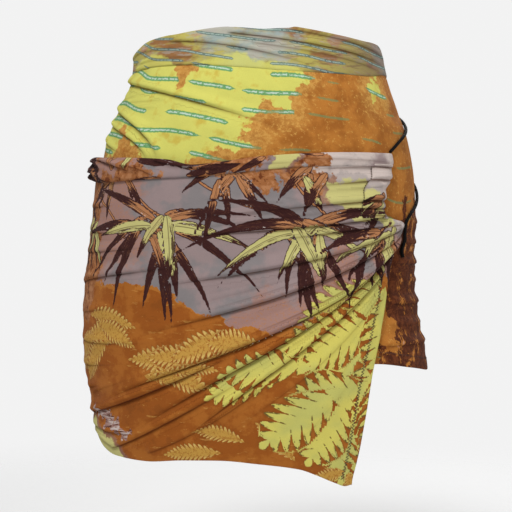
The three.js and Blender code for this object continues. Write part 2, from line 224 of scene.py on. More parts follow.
UNDER_FOLDS = folds(
    (-95, -40, -40, -61.5, 14, -105, 4.6, 16, 0.9, 5), (-95, -65, -53, -94, -37, -134, 4.2, 14, 0.9, 4),
    (-95, -82, -57, -104, -42, -134, 3.6, 11, 0.9, 3), (-97, -52, -75, -62, -52, -88, 1.6, 9, 0.5, 0),
    (-96, -97, -78, -108, -56, -124, 3, 9, 0.7, 2), (-60, -40, -20, -52, 25, -70, 1.6, 20, 0.1, 0),
    (-35, -84, 5, -104, 40, -112, 1.3, 22, 0, 0), (8, -48, 48, -62, 92, -66, 1.6, 16, 0.1, 0),
    (25, -78, 60, -92, 95, -88, 1.4, 18, 0, 0), (66, -192, 92, -195, 116, -188, 2.2, 11, 0.4, 0),
    (58, -214, 90, -217, 116, -212, 2.5, 10, 0.5, 0), (54, -237, 90, -239, 120, -234, 3.6, 13, 0.5, 3),
    (52, -258, 90, -258, 112, -262, 2.4, 10, 0.5, 0), (50, -280, 90, -281, 118, -276, 4.2, 14, 0.5, 3),
    (47, -302, 90, -303, 110, -300, 2.2, 10, 0.4, 0), (42, -324, 90, -323, 122, -318, 3.8, 14, 0.5, 3),
    (98, -56, 132, -74, 176, -88, 3, 17, 0.6, 2), (104, -92, 140, -112, 184, -136, 3.6, 18, 0.6, 2),
    (262, -60, 232, -84, 190, -96, 3, 16, 0.6, 2), (264, -94, 236, -112, 204, -136, 2.6, 14, 0.5, 0),
    (100, -198, 140, -212, 196, -206, 3, 15, 0.5, 0), (104, -226, 150, -240, 206, -232, 3.6, 17, 0.6, 2),
    (112, -262, 160, -272, 214, -262, 3, 15, 0.6, 0), (104, -290, 152, -304, 204, -296, 3.6, 16, 0.5, 2),
    (122, -326, 170, -324, 226, -334, 3, 16, 0.4, 0),
    *pull_folds((-96, -60), ((-20, -50), (-30, -130)), 8, SEED + 5),
)
WRAP_FOLDS = folds(
    # from the tip, from the highest to the lowest
    (60, -197, 34, -204, 2, -216, 3, 9, 0.8, 3), (62, -199, 14, -238, -38, -263, 4.5, 17, 0.8, 4),
    (60, -200, 44, -214, 22, -232, 2.5, 8, 0.8, 2), (62, -203, 15, -264, -44, -316, 5, 17, 0.9, 4),
    (60, -205, 40, -228, 12, -262, 2.5, 9, 0.7, 2), (63, -206, 2, -314, -74, -393, 6.5, 21, 1, 7),
    (62, -208, 30, -264, -12, -322, 2.8, 10, 0.7, 3), (60, -212, 12, -312, -52, -424, 6, 18, 1, 6),
    (58, -214, 32, -276, -4, -352, 2.6, 11, 0.6, 0), (52, -240, 5, -348, -30, -430, 4.5, 15, 0.9, 4),
    (48, -262, 18, -345, -14, -420, 2, 12, 0.5, 0), (44, -300, 24, -380, 8, -436, 1.8, 16, 0.2, 0),
    # back from the side seam's gather
    (-88, -400, -42, -376, 6, -308, 4.5, 15, 1, 5), (-60, -432, -34, -406, 4, -340, 3.4, 13, 0.9, 3),
    (-40, -434, -14, -398, 14, -332, 2.4, 12, 0.7, 2),
    # from the gathered channel
    (57, -137.5, 40, -138, 8, -144, 2, 8, 0.9, 0), (54, -150, 44, -152, 10, -162, 3, 11, 0.8, 2),
    (50, -158, 40, -160, 18, -165, 1.5, 7, 0.5, 0), (50, -172.7, 36, -175, -24, -192, 3.6, 14, 0.9, 3),
    (49, -181, 40, -182, 14, -190, 2.2, 8, 0.8, 0), (50, -188.3, 20, -200, -40, -214, 3.6, 10, 0.9, 4),
    # from the wrap side's seam
    (-95, -174, -78, -178, -52, -176, 2.6, 10, 0.7, 2), (-95, -197, -70, -205, -44, -204, 3, 12, 0.6, 2),
    (-95, -224, -66, -226, -34, -220, 2.8, 13, 0.6, 2), (-97, -262, -66, -254, -18, -240, 4, 16, 0.8, 4),
    (-95, -288, -74, -290, -40, -280, 2.4, 11, 0.5, 0), (-96, -312, -70, -322, -30, -318, 3, 14, 0.6, 2),
    (-96, -341, -80, -347, -46, -342, 3, 12, 0.6, 0), (-96, -366, -82, -372, -58, -364, 2.4, 10, 0.7, 2),
    (-94, -392, -78, -396, -44, -386, 3, 10, 0.9, 3), (-88, -397, -66, -414, -34, -412, 3, 11, 0.8, 3),
    (-84, -402, -66, -424, -50, -433, 2.6, 9, 0.8, 2),
    # on the hidden back
    (-84, -206, -125, -216, -172, -196, 4, 18, 0.5, 0),
    (-84, -246, -118, -242, -160, -216, 2.6, 14, 0.5, 0),
    (-84, -290, -130, -264, -172, -232, 4.5, 20, 0.6, 0),
    (-84, -330, -116, -304, -150, -272, 2.8, 14, 0.5, 0),
    (-84, -366, -128, -318, -172, -282, 4.5, 18, 0.6, 0),
    *pull_folds((62, -206), ((-50, -290), (20, -440)), 16, SEED),
    *pull_folds((50, -176), ((-30, -160), (-30, -220)), 8, SEED + 1),
    *pull_folds((-92, -390), ((-30, -330), (-30, -440)), 8, SEED + 2),
    *pull_folds((-92, -250), ((-40, -200), (-40, -280)), 6, SEED + 3),
    *pull_folds((-84, -300), ((-170, -200), (-170, -330)), 9, SEED + 4),
)
WAISTBAND_FOLDS = folds(
    (-86, -18, -60, -13, -24, -16, 1.4, 8, 0.8, 0), (-44, -6, -10, -14, 30, -38, 2.6, 9, 0.9, 0),
    (-14, 1, 26, -11, 88, -30, 3, 9, 0.9, 0), (14, 4, 48, -6, 92, -20, 2.4, 8, 0.9, 0),
    (-4, -10, 34, -22, 80, -38, 2, 8, 0.8, 0), (-70, -26, -40, -23, -10, -28, 1.2, 7, 0.7, 0),
    (-78, -30, -40, -31, -14, -33, 1, 6, 0.6, 0), (100, -14, 130, -18, 170, -26, 1.4, 9, 0.6, 0),
    (-170, -12, -140, -20, -110, -26, 1.4, 9, 0.6, 0),
)
# On the rolled top: soft strands that twist round it
ROLL_FOLDS = folds(
    (-112, -122, -86, -127, -64, -139, 4.5, 8, 1, 3), (-78, -126, -60, -134, -38, -150, 4.6, 9, 1, 3),
    (-108, -131, -86, -138, -60, -151, 4.6, 8, 1, 3), (-106, -141, -90, -145, -72, -151, 3.4, 7, 1, 0),
    (-54, -135, -44, -140, -35, -151, 2.6, 6, 1, 2), (-38, -131, -24, -140, -4, -142, 2.2, 6, 0.9, 2),
    (-22, -138, -2, -137, 22, -134, 1.6, 5, 0.8, 0), (14, -131, 36, -131, 60, -133, 1.6, 5, 0.8, 0),
    (-176, -134, -150, -138, -112, -142, 1.8, 7, 0.7, 0),
)
FOLD_STEPS = 10
FOLD_RISEN, FOLD_SINKS = 0.07, 0.62  # the shares of its length where it is at full height and starts to sink
CREASE_WIDTH = 2.0
CREASE_DEPTH = 0.3  # of the fold's height
CREASE_REACH = 7.0  # how far round a crease its distance is kept
SWALLOW_REACH = 45.0  # the distance over which the shift of the print dies away
SHIFT_TURNS = 0.8  # within about this distance of a crease the print's shift changes sides
FULL_MARK = 3.0  # a fold this high is marked in full
STEEP_SCALE = 3.49  # brings the highest point of s^0.5 (1-s)^2 to 1


def fold_path(fold):
    """A fold's crease on the unrolled cloth: the parabola through its three places, as straight steps."""
    start, middle, end = (np.array([fold[f"a{i}"] * MM_PER_DEGREE, fold[f"z{i}"]]) for i in (1, 2, 3))
    t = np.linspace(0, 1, FOLD_STEPS + 1)[:, None]
    return (1 - t) * (1 - 2 * t) * start + 4 * t * (1 - t) * middle + t * (2 * t - 1) * end


def fold_relief(folds, around, z):
    """What the folds do to the cloth at each place. Above its crease a sharp fold rises and falls as
    s^0.5 (1-s)^2 and a soft one lies on both sides as (1-s^2)^2, where s is the distance over the width; the
    crease itself is a narrow bell. All of it fades at the fold's two ends, and folds that meet rise to the
    root of the sum of their squares. The result is how far the cloth is lifted, the distance to the nearest
    marked crease (above it is more than 0), how marked it is (0 to 1), and how far the print is shifted
    where cloth is hidden in the crease."""
    ridges, trough, crease, marked, shift = (np.zeros(around.shape) for _ in range(5))
    crease += CREASE_REACH
    nearness = np.zeros(around.shape)
    x = around * MM_PER_DEGREE
    for fold in rows_of(folds):
        path = fold_path(fold)
        reach = max(fold["width"], CREASE_REACH) + (SWALLOW_REACH if fold["swallow"] else 0)
        low, high = path.min(axis=0) - reach, path.max(axis=0) + reach
        near = np.nonzero((x > low[0]) & (x < high[0]) & (z > low[1]) & (z < high[1]))
        if not near[0].size:
            continue
        place = np.stack([x[near], z[near]], axis=-1)
        best = np.full(len(place), np.inf)
        above, share = np.zeros(len(place)), np.zeros(len(place))
        for i in range(FOLD_STEPS):
            step = path[i + 1] - path[i]
            t = np.clip((place - path[i]) @ step / (step @ step), 0, 1)
            away = place - path[i] - t[:, None] * step
            distance = np.linalg.norm(away, axis=1)
            side = np.sign(step[0]) * (step[0] * away[:, 1] - step[1] * away[:, 0])
            closer = distance < best
            best = np.where(closer, distance, best)
            above = np.where(closer, np.sign(side), above)
            share = np.where(closer, (i + t) / FOLD_STEPS, share)
        ends = smoothstep(share, 0, FOLD_RISEN) * (1 - smoothstep(share, FOLD_SINKS, 1))
        s = np.clip(best / fold["width"], 0, 1)
        steep = np.where(above > 0, s**0.5 * (1 - s) ** 2 * STEEP_SCALE, 0)
        soft = (1 - s * s) ** 2
        bell = np.exp(-((best / CREASE_WIDTH) ** 2))
        sharp = fold["sharp"]
        ridges[near] += (fold["height"] * ends * (sharp * steep + (1 - sharp) * soft)) ** 2
        trough[near] += fold["height"] * ends * CREASE_DEPTH * sharp * bell
        mark = ends * sharp * min(fold["height"] / FULL_MARK, 1) ** 1.5
        near_mark = mark * np.clip(1 - best / CREASE_REACH, 0, 1)
        nearer = near_mark > nearness[near]
        nearness[near] = np.where(nearer, near_mark, nearness[near])
        crease[near] = np.where(nearer, above * best, crease[near])
        marked[near] = np.where(nearer, mark, marked[near])
        hidden = np.tanh(above * best / SHIFT_TURNS) * np.exp(-best / SWALLOW_REACH)
        shift[near] += fold["swallow"] / 2 * ends * hidden
    return np.sqrt(ridges) - trough, {"crease": crease, "marked": marked}, shift


# ---- Shapes


def on_body(sections, around, z, out):
    """A place on a body of elliptical sections: x is the half-width times the sine of the angle round, y is
    minus the half-depth times its cosine, and it is moved straight out from the body by out."""
    turn = np.radians(around)
    sine, cosine = np.sin(turn), np.cos(turn)
    across = np.where(sine > 0, along(sections, "z", "tie_side", z), along(sections, "z", "wrap_side", z))
    deep = np.where(cosine > 0, along(sections, "z", "front", z), along(sections, "z", "back", z))
    outward = np.stack([sine / across, -cosine / deep, np.zeros_like(sine)], axis=-1)
    outward /= np.linalg.norm(outward, axis=-1, keepdims=True)
    place = np.stack([across * sine, -deep * cosine, z], axis=-1)
    return place + outward * np.broadcast_to(out, sine.shape)[..., None]


def unit(vectors):
    """The same vectors, each one long."""
    return vectors / np.maximum(np.linalg.norm(vectors, axis=-1, keepdims=True), 1e-9)


def make_mesh(name, points, faces, cloth=None, fields=None):
    """A smooth-shaded object from points in millimetres and faces, with a UV map and point attributes."""
    mesh = bpy.data.meshes.new(name)
    mesh.from_pydata((points * MM).tolist(), [], faces)
    if cloth is not None:
        corners = np.empty(len(mesh.loops), int)
        mesh.loops.foreach_get("vertex_index", corners)
        layer = mesh.uv_layers.new(name="cloth")
        layer.uv.foreach_set("vector", (cloth * MM)[corners].ravel())
    for field, values in (fields or {}).items():
        kind, key = ("FLOAT_VECTOR", "vector") if values.ndim == 2 else ("FLOAT", "value")
        attribute = mesh.attributes.new(field, kind, "POINT")
        attribute.data.foreach_set(key, values.astype(np.float32).ravel())
    mesh.shade_smooth()
    mesh.validate()
    piece = bpy.data.objects.new(name, mesh)
    bpy.context.scene.collection.objects.link(piece)
    return piece


def quads(index, order=(0, 1, 2, 3)):
    """The faces between the neighbours of a grid of point numbers, their four corners in this order."""
    corners = [index[:-1, :-1], index[:-1, 1:], index[1:, 1:], index[1:, :-1]]
    return np.stack([corners[i] for i in order], axis=-1).reshape(-1, 4)


def at_places(values, source):
    """A grid's values at the places that source numbers."""
    return values.reshape(-1, *values.shape[2:])[source]


def cloth_shell(name, outer, thickness, x, z, fields):
    """A thin closed shell of cloth. outer is a grid of places, columns going round towards the tie side and
    rows going down; x and z are the same places on the flat cloth. The inner face lies one thickness in
    from it along its own normal, and both faces share one more row and column all round, half a thickness
    past the edge, which round off the rims."""
    down, across = np.gradient(outer, axis=1), np.gradient(outer, axis=0)
    thickness = np.broadcast_to(thickness, outer.shape[:2])[..., None]
    inner = outer - unit(np.cross(down, across)) * thickness
    pad = ((1, 1), (1, 1), (0, 0))
    rim = np.pad((outer + inner) / 2, pad, mode="edge")
    half = np.pad(thickness, pad, mode="edge") / 2
    for line, wide in ((rim, half), (rim.swapaxes(0, 1), half.swapaxes(0, 1))):
        line[0] = line[1] + unit(line[1] - line[2]) * wide[0]
        line[-1] = line[-2] + unit(line[-2] - line[-3]) * wide[-1]
    front = rim.copy()
    front[1:-1, 1:-1] = outer
    source = np.arange(thickness.size).reshape(outer.shape[:2])
    outside = np.arange(front[..., 0].size).reshape(front.shape[:2])
    inside = outside.copy()
    inside[1:-1, 1:-1] = outside.size + source
    faces = np.concatenate([quads(outside), quads(inside, (3, 2, 1, 0))])
    points = np.concatenate([front.reshape(-1, 3), inner.reshape(-1, 3)])
    source = np.concatenate([np.pad(source, 1, mode="edge").ravel(), source.ravel()])
    marks = {field: at_places(values, source) for field, values in fields.items()}
    marks["inside"] = (np.arange(len(points)) >= outside.size) * 1.0
    return make_mesh(name, points, faces.tolist(), at_places(np.stack([x, z], axis=-1), source), marks)


def ringed_form(name, rings, tips, cloth, fields, flipped=False):
    """A closed form: its surface runs along rings of points and is drawn together to a tip at each end.
    flipped turns its faces over, for rings that run the other way round."""
    index = np.arange(rings[..., 0].size).reshape(rings.shape[:2])
    source = np.append(index.ravel(), [0, index.size - 1])
    closed = np.pad(index, ((0, 0), (0, 1)), mode="wrap")
    first = [(index.size, a, b) for a, b in zip(closed[0], closed[0, 1:])]
    last = [(index.size + 1, b, a) for a, b in zip(closed[-1], closed[-1, 1:])]
    points = np.concatenate([rings.reshape(-1, 3), tips])
    marks = {field: at_places(values, source) for field, values in fields.items()}
    faces = quads(closed, (0, 3, 2, 1)).tolist() + first + last
    if flipped:
        faces = [face[:1] + face[:0:-1] for face in faces]
    return make_mesh(name, points, faces, at_places(cloth, source), marks)


# ---- Prints: fields over the cloth, in millimetres of cloth


def sprigs(*rows):
    """A table of sprigs: leaves that spread from a place, from the heading first to the heading last, in
    degrees from +x. tone: 0 dark, 0.5 rust, 1 pale on slender leaves; 0 ochre, 1 yellow on fronds. sag bends
    them down."""
    return table("x z first last leaves length width sag tone", *rows)


def patches(*rows):
    """A table of patches."""
    return table("x z radius", *rows)


SLENDER_SPRIGS = sprigs(
    (-192, -180, 150, 330, 7, 84, 9, 0.4, 0.2), (-186, -186, 176, 320, 3, 60, 11, 0.4, 0.9),
    (-140, -138, 196, 330, 5, 66, 9, 0.3, 0.5), (-92, -192, 138, 402, 12, 104, 10, 0.45, 0.2),
    (-88, -196, 168, 372, 5, 72, 12, 0.4, 0.9), (-20, -142, 190, 344, 6, 72, 9, 0.3, 0.5),
    (38, -196, 136, 404, 12, 98, 10, 0.45, 0.2), (44, -200, 166, 370, 5, 70, 12, 0.4, 0.9),
    (54, -138, 188, 312, 4, 54, 9, 0.3, 0.5), (124, -206, 168, 300, 7, 90, 10, 0.45, 0.2),
    (130, -202, 168, 270, 4, 66, 12, 0.4, 0.9), (146, -160, 178, 230, 3, 60, 9, 0.3, 0.5),
    # on the rolled top; the dark leaves near its end by the wrap side are partly print and partly painted
    # shade where it bunches
    (-206, -124, 158, 200, 4, 44, 13, 0.1, 0), (-216, -134, 164, 196, 3, 34, 12, 0.1, 0),
    (-176, -134, 186, 206, 2, 46, 9, 0.1, 0.1), (-38, -128, 164, 196, 3, 58, 9, 0.1, 0.1),
    (-52, -122, -12, 14, 2, 44, 9, 0.1, 0.1), (6, -128, 150, 176, 2, 40, 8, 0.1, 0.4),
    (64, -122, 182, 194, 2, 46, 6, 0.1, 0.4),
    # on the hidden back
    (-300, -176, 138, 402, 12, 100, 10, 0.45, 0.2), (-296, -180, 168, 372, 5, 70, 12, 0.4, 0.9),
    (-392, -186, 138, 402, 12, 100, 10, 0.45, 0.2), (-388, -190, 168, 372, 5, 70, 12, 0.4, 0.9),
    (-446, -150, 200, 340, 5, 66, 9, 0.4, 0.5),
    # on the rolled top's end by the seam: dark leaves that are partly print and partly painted shade, the
    # last a dark line of painted shade along the roll's lower lip
    (-128, -142, 4, 20, 2, 46, 9, 0.1, 0.1), (-165, -114, 190, 204, 2, 54, 10, 0.1, 0),
    (-186, -120, 160, 196, 3, 52, 13, 0.1, 0), (-98, -113, 172, 184, 2, 56, 7, 0.05, 0.1),
)
BROAD_SPRIGS = sprigs(
    # small and ochre
    (-112, -304, 166, 196, 3, 74, 26, 0.2, 0), (-150, -322, 172, 206, 3, 66, 26, 0.3, 0),
    (-168, -300, -14, 12, 2, 60, 22, 0.2, 0), (-34, -332, 160, 190, 3, 66, 24, 0.2, 0),
    (-86, -340, -16, 14, 2, 62, 22, 0.2, 0), (-2, -310, 166, 196, 2, 60, 24, 0.2, 0),
    (-20, -424, 150, 186, 2, 50, 20, 0.2, 0), (34, -436, 20, 150, 2, 44, 20, 0.1, 0),
    # large and yellow
    (130, -256, 186, 240, 3, 92, 44, 0.2, 1), (120, -312, 168, 250, 4, 96, 46, 0.2, 1),
    (106, -360, 170, 262, 4, 100, 48, 0.2, 1), (66, -376, 196, 290, 3, 84, 46, 0.1, 1),
    (40, -352, 164, 204, 2, 76, 38, 0.1, 1), (82, -452, 170, 330, 3, 42, 20, 0.1, 0),
    # down the free edge
    (132, -272, 252, 262, 2, 96, 42, 0.05, 1), (114, -334, 256, 266, 2, 96, 42, 0.05, 1),
    # on the hidden back
    (-284, -292, 150, 230, 3, 90, 42, 0.2, 1), (-300, -318, 170, 200, 2, 72, 26, 0.2, 0),
    (-350, -320, 160, 205, 3, 70, 26, 0.2, 0), (-396, -276, 190, 320, 4, 92, 44, 0.2, 1),
)
STEMS = table(
    "x z heading turn length",
    (-236, -146, 350, -40, 120), (-132, -142, 300, 46, 92), (-54, -150, 320, 34, 80),
    (30, -146, 300, 40, 88), (150, -150, 262, -60, 70), (-300, -150, 290, 50, 110),
    (-392, -150, 250, 60, 100),
)
HILLS = table(
    "x z",
    (-520, -276), (-430, -300), (-330, -268), (-252, -264), (-200, -252), (-140, -262), (-96, -256),
    (-44, -284), (12, -304), (60, -290), (110, -258), (180, -262),
)
WRAP_PATCHES = {
    "pale": patches(
        (150, -134, 34), (104, -128, 26), (70, -118, 24), (134, -160, 22), (96, -148, 26), (146, -182, 20),
        (40, -122, 12), (-380, -180, 40),
    ),
    "pink": patches(
        (-184, -176, 62), (-142, -150, 30), (-168, -228, 34), (-132, -132, 30), (70, -268, 44),
        (8, -300, 30), (128, -226, 26), (-300, -236, 50), (-452, -200, 40),
    ),
    "ember": patches(
        (-210, -168, 28), (-206, -192, 29), (-202, -216, 34), (-200, -244, 42), (-212, -108, 20),
        (-188, -108, 21), (-162, -108, 22), (-140, -110, 22), (-114, -110, 22), (-92, -109, 13),
        (-36, -124, 18), (-8, -130, 20), (20, -132, 14), (30, -111, 15), (54, -111, 13), (8, -150, 13),
        (36, -148, 13), (60, -156, 15), (-420, -150, 24),
    ),
    "glow": patches(
        (24, -118, 12), (102, -170, 21), (122, -173, 17), (80, -164, 15), (-163, -444, 26),
        (-184, -424, 17),
    ),
    "stone": patches(
        (-178, -392, 7), (-166, -397, 8), (-153, -402, 8), (-141, -408, 7), (-128, -416, 6),
        (-366, -330, 12),
    ),
}
UNDER_PATCHES = {
    "yellow": patches(
        (-205, -70, 52), (-140, -46, 58), (-84, -96, 50), (-46, -84, 30), (-30, -44, 46), (-10, -64, 26),
        (22, -44, 27), (150, -52, 12), (318, -62, 44), (352, -96, 34), (404, -58, 50), (452, -92, 34),
        (546, -66, 46), (590, -110, 50), (480, -214, 34), (516, -236, 26), (448, -190, 22),
    ),
    "dark": patches(
        (178, -232, 40), (144, -252, 24), (170, -172, 5), (206, -216, 34), (204, -302, 62),
        (138, -364, 38), (168, -356, 43), (250, -262, 40), (296, -318, 34), (330, -346, 30),
        (402, -300, 26), (436, -330, 34), (360, -240, 18), (566, -286, 40), (610, -320, 44),
        (524, -340, 26),
    ),
}
WHITE_PATCHES = patches(
    (-44, 2, 20), (-8, -20, 24), (20, -12, 18), (200, -20, 26), (-330, -20, 30), (330, -10, 26),
)
STEM_WIDTH, STEM_STEPS = 3.2, 12
BLADE_SCALE = 2.54  # brings the widest place of s^0.45 (1-s)^1.1 to 1
SMALL_LEAFLETS, LARGE_LEAFLETS = 13, 8  # on each side of a frond
LEAFLET_LEAN = 1.5  # how many leaflets' pitch their tips lie ahead of their feet
FROND_SHAPE = 0.8
PATCH_LOBES = ((0.16, 2, 0.31), (0.13, 3, 0.17), (0.09, 5, 0.23))  # size, number, turn per millimetre
LEAF_REACH = 1.25  # how far from its foot a leaf is looked for, in lengths
LEAF_LAP = 0.4  # how far past its own edge a leaf hides those below it
FAR_OFF = 60.0  # how far outside every leaf and stem a place counts as, at most


def patch_field(patches, x, z):
    """How far each place lies inside the nearest patch: its radius less the distance to its middle, which
    is stretched and squeezed by three sines of the bearing."""
    inside = []
    for patch in rows_of(patches):
        dx, dz = x - patch["x"], z - patch["z"]
        bearing = np.arctan2(dz, dx)
        uneven = sum(size * np.sin(lobes * bearing + patch["x"] * turn) for size, lobes, turn in PATCH_LOBES)
        inside.append(patch["radius"] - np.hypot(dx, dz) * (1 + uneven))
    return np.max(inside, axis=0)


def leaves_of(sprigs, seed):
    """The leaves of each sprig, spread evenly between its two headings, each a little different, and in a
    mixed order so that they cover each other unevenly."""
    draw = np.random.default_rng(seed)
    leaves = []
    for sprig in rows_of(sprigs):
        count = int(sprig["leaves"])
        for i in draw.permutation(count):
            share = (i + 0.5 + draw.uniform(-0.3, 0.3)) / count
            heading = math.radians(mix(sprig["first"], sprig["last"], share))
            bend = -math.cos(heading) * sprig["sag"]
            leaves.append({
                "x": sprig["x"] + draw.uniform(-12, 12),
                "z": sprig["z"] + draw.uniform(-9, 9),
                "angle": heading,
                "length": sprig["length"] * draw.uniform(0.72, 1.15),
                "width": sprig["width"] * draw.uniform(0.8, 1.15),
                "sag": bend * draw.uniform(0.6, 1.4) + draw.uniform(-0.05, 0.05),
                "tone": min(max(sprig["tone"] + draw.uniform(-0.3, 0.3), 0), 1),
            })
    return leaves


def leaf_field(leaves, fronds, x, z):
    """The uppermost leaf at each place, or the nearest one: how deep the place is in it, how far across it
    (-1 to 1), how far along it (0 to 1), and its tone. Half of a leaf's width goes as s^0.45 (1-s)^1.1, and
    half of a frond's as the sine of pi s^0.8, swept forwards by its leaflets' lean, about a midrib that sags
    as s^2."""
    deepest = np.full(x.shape, -FAR_OFF)
    across, far, tone = (np.zeros(x.shape) for _ in range(3))
    for leaf in leaves:
        near = np.nonzero(np.hypot(x - leaf["x"], z - leaf["z"]) < leaf["length"] * LEAF_REACH)
        if not near[0].size:
            continue
        dx, dz = x[near] - leaf["x"], z[near] - leaf["z"]
        cosine, sine = math.cos(leaf["angle"]), math.sin(leaf["angle"])
        s = (dx * cosine + dz * sine) / leaf["length"]
        side = dz * cosine - dx * sine - leaf["sag"] * leaf["length"] * s * np.abs(s)
        if fronds:
            leaflets = LARGE_LEAFLETS if leaf["tone"] > 0.5 else SMALL_LEAFLETS
            foot = np.clip(s - np.abs(side) / (leaf["width"] / 2) * LEAFLET_LEAN / leaflets, 0, 1)
            half = leaf["width"] / 2 * np.sin(math.pi * foot**FROND_SHAPE)
        else:
            inner = np.clip(s, 0, 1)
            half = leaf["width"] / 2 * BLADE_SCALE * inner**0.45 * (1 - inner) ** 1.1
        depth = np.minimum(half - np.abs(side), np.minimum(s, 1 - s) * leaf["length"])
        covers = (depth > -LEAF_LAP) | (depth > deepest[near])
        deepest[near] = np.where(covers, depth, deepest[near])
        across[near] = np.where(covers, side / (leaf["width"] / 2), across[near])
        far[near] = np.where(covers, s, far[near])
        tone[near] = np.where(covers, leaf["tone"], tone[near])
    return np.stack([deepest, across, far], axis=-1), tone


def stem_field(stems, x, z):
    """How deep each place is in the nearest stem, which is an arc drawn as short straight steps."""
    nearest = np.full(x.shape, FAR_OFF)
    for stem in rows_of(stems):
        t = np.linspace(0, 1, STEM_STEPS + 1)
        heading = np.radians(stem["heading"] + stem["turn"] * t)
        steps = np.stack([np.cos(heading), np.sin(heading)], axis=1) * stem["length"] / STEM_STEPS
        knots = np.array([stem["x"], stem["z"]]) + np.cumsum(steps, axis=0)
        for start, end in zip(knots[:-1], knots[1:]):
            step = end - start
            share = np.clip(((x - start[0]) * step[0] + (z - start[1]) * step[1]) / (step @ step), 0, 1)
            away = np.hypot(x - start[0] - share * step[0], z - start[1] - share * step[1])
            nearest = np.minimum(nearest, away)
    return STEM_WIDTH / 2 - nearest


SLENDER_LEAVES = leaves_of(SLENDER_SPRIGS, SEED)
BROAD_LEAVES = leaves_of(BROAD_SPRIGS, SEED + 1)


def printed(patch_tables, x, z):
    """The field of each table of patches, by its name."""
    return {name: patch_field(rows, x, z) for name, rows in patch_tables.items()}


def wrap_print(x, z):
    """The wrap's print: sprigs over two grounds that meet along a line of hills, and patches."""
    fields = printed(WRAP_PATCHES, x, z)
    fields["slender"], fields["slender_tone"] = leaf_field(SLENDER_LEAVES, False, x, z)
    fields["broad"], fields["broad_tone"] = leaf_field(BROAD_LEAVES, True, x, z)
    fields["stem"] = stem_field(STEMS, x, z)
    fields["above_hills"] = z - along(HILLS, "x", "z", x)
    return fields


# ---- Materials


class Value:
    """A socket of a shader, reckoned with as a number, a vector or a colour: each operation on it puts in
    the node that does it."""

    def __init__(self, shader, socket):
        self.shader = shader
        self.socket = socket

    def math(self, operation, *others):
        inputs = dict(enumerate((self, *others)))
        return self.shader.put("ShaderNodeMath", inputs, operation=operation)

    __add__ = partialmethod(math, "ADD")
    __sub__ = partialmethod(math, "SUBTRACT")
    __mul__ = partialmethod(math, "MULTIPLY")
    __truediv__ = partialmethod(math, "DIVIDE")
    __pow__ = partialmethod(math, "POWER")
    __abs__ = partialmethod(math, "ABSOLUTE")

    def step(self, low, high):
        """0 at low, 1 at high, smooth between them and level past them."""
        inputs = {"Value": self, "From Min": low, "From Max": high}
        return self.shader.put("ShaderNodeMapRange", inputs, interpolation_type="SMOOTHSTEP")

    def mix(self, first, second):
        """The first colour where this is 0, the second where it is 1."""
        return self.shader.mix(self, first, second)

    def tinted(self, tint):
        """This colour times another, or times a grey."""
        return self.shader.mix(1.0, self, tint, "MULTIPLY")

    def split(self):
        """The three numbers of a vector."""
        node = self.shader.put("ShaderNodeSeparateXYZ", {"Vector": self}).socket.node
        return [Value(self.shader, socket) for socket in node.outputs]

    def scaled(self, x, y, z=1.0, turn=0.0):
        inputs = {"Vector": self, "Rotation": (0.0, 0.0, turn), "Scale": (x, y, z)}
        return self.shader.put("ShaderNodeMapping", inputs)

    def noise(self, scale, detail=2.0, roughness=0.5, distortion=0.0):
        values = {"Scale": scale, "Detail": detail, "Roughness": roughness, "Distortion": distortion}
        return self.shader.put("ShaderNodeTexNoise", {"Vector": self, **values})

    def waves(self, scale, distortion=0.0, detail=2.0, detail_scale=1.0):
        values = {"Scale": scale, "Distortion": distortion, "Detail": detail, "Detail Scale": detail_scale}
        return self.shader.put("ShaderNodeTexWave", {"Vector": self, **values}, "Fac")

    def ragged(self, cloth, scale, amount):
        """This field with its contours made uneven by noise, by up to half of amount either way."""
        return (cloth.noise(scale, 4.0, 0.65) - 0.5) * amount + self


class Shader:
    """A material under construction."""

    def __init__(self, name):
        self.material = bpy.data.materials.new(name)
        self.material.use_nodes = True
        self.tree = self.material.node_tree
        self.surface = self.tree.nodes["Principled BSDF"]

    def put(self, kind, inputs, output=0, **settings):
        """One output of a new node with these settings and inputs."""
        node = self.tree.nodes.new(kind)
        for key, value in settings.items():
            setattr(node, key, value)
        self.feed(node, inputs)
        return Value(self, node.outputs[output])

    def feed(self, node, inputs):
        """Links a node's inputs to values, or sets them to numbers, vectors and colours."""
        for key, value in inputs.items():
            socket = node.inputs[key]
            if isinstance(value, Value):
                self.tree.links.new(value.socket, socket)
            elif socket.type == "RGBA":
                socket.default_value = (*value, 1.0)
            else:
                socket.default_value = value

    def attribute(self, name, output="Fac"):
        return self.put("ShaderNodeAttribute", {}, output, attribute_name=name)

    def mix(self, share, first, second, blend="MIX"):
        inputs = {MIX_SHARE: share, MIX_FIRST: first, MIX_SECOND: second}
        return self.put("ShaderNodeMix", inputs, MIX_RESULT, data_type="RGBA", blend_type=blend)

    def finish(self, colour, height, bump, roughness, sheen):
        """Joins colour and bump to the surface, and sets its cloth values on its own sockets."""
        bumps = self.put("ShaderNodeBump", {"Height": height, "Strength": bump, "Distance": BUMP_DEPTH})
        self.feed(self.surface, {"Base Color": colour, "Normal": bumps, "Roughness": roughness,
                                 "Specular IOR Level": 0.1, "Sheen Weight": sheen, "Sheen Roughness": 0.5})
        return self.material


def cloth_shader(name):
    """A new shader, and the place on the flat cloth, in metres."""
    shader = Shader(name)
    return shader, shader.put("ShaderNodeUVMap", {}, uv_map="cloth")


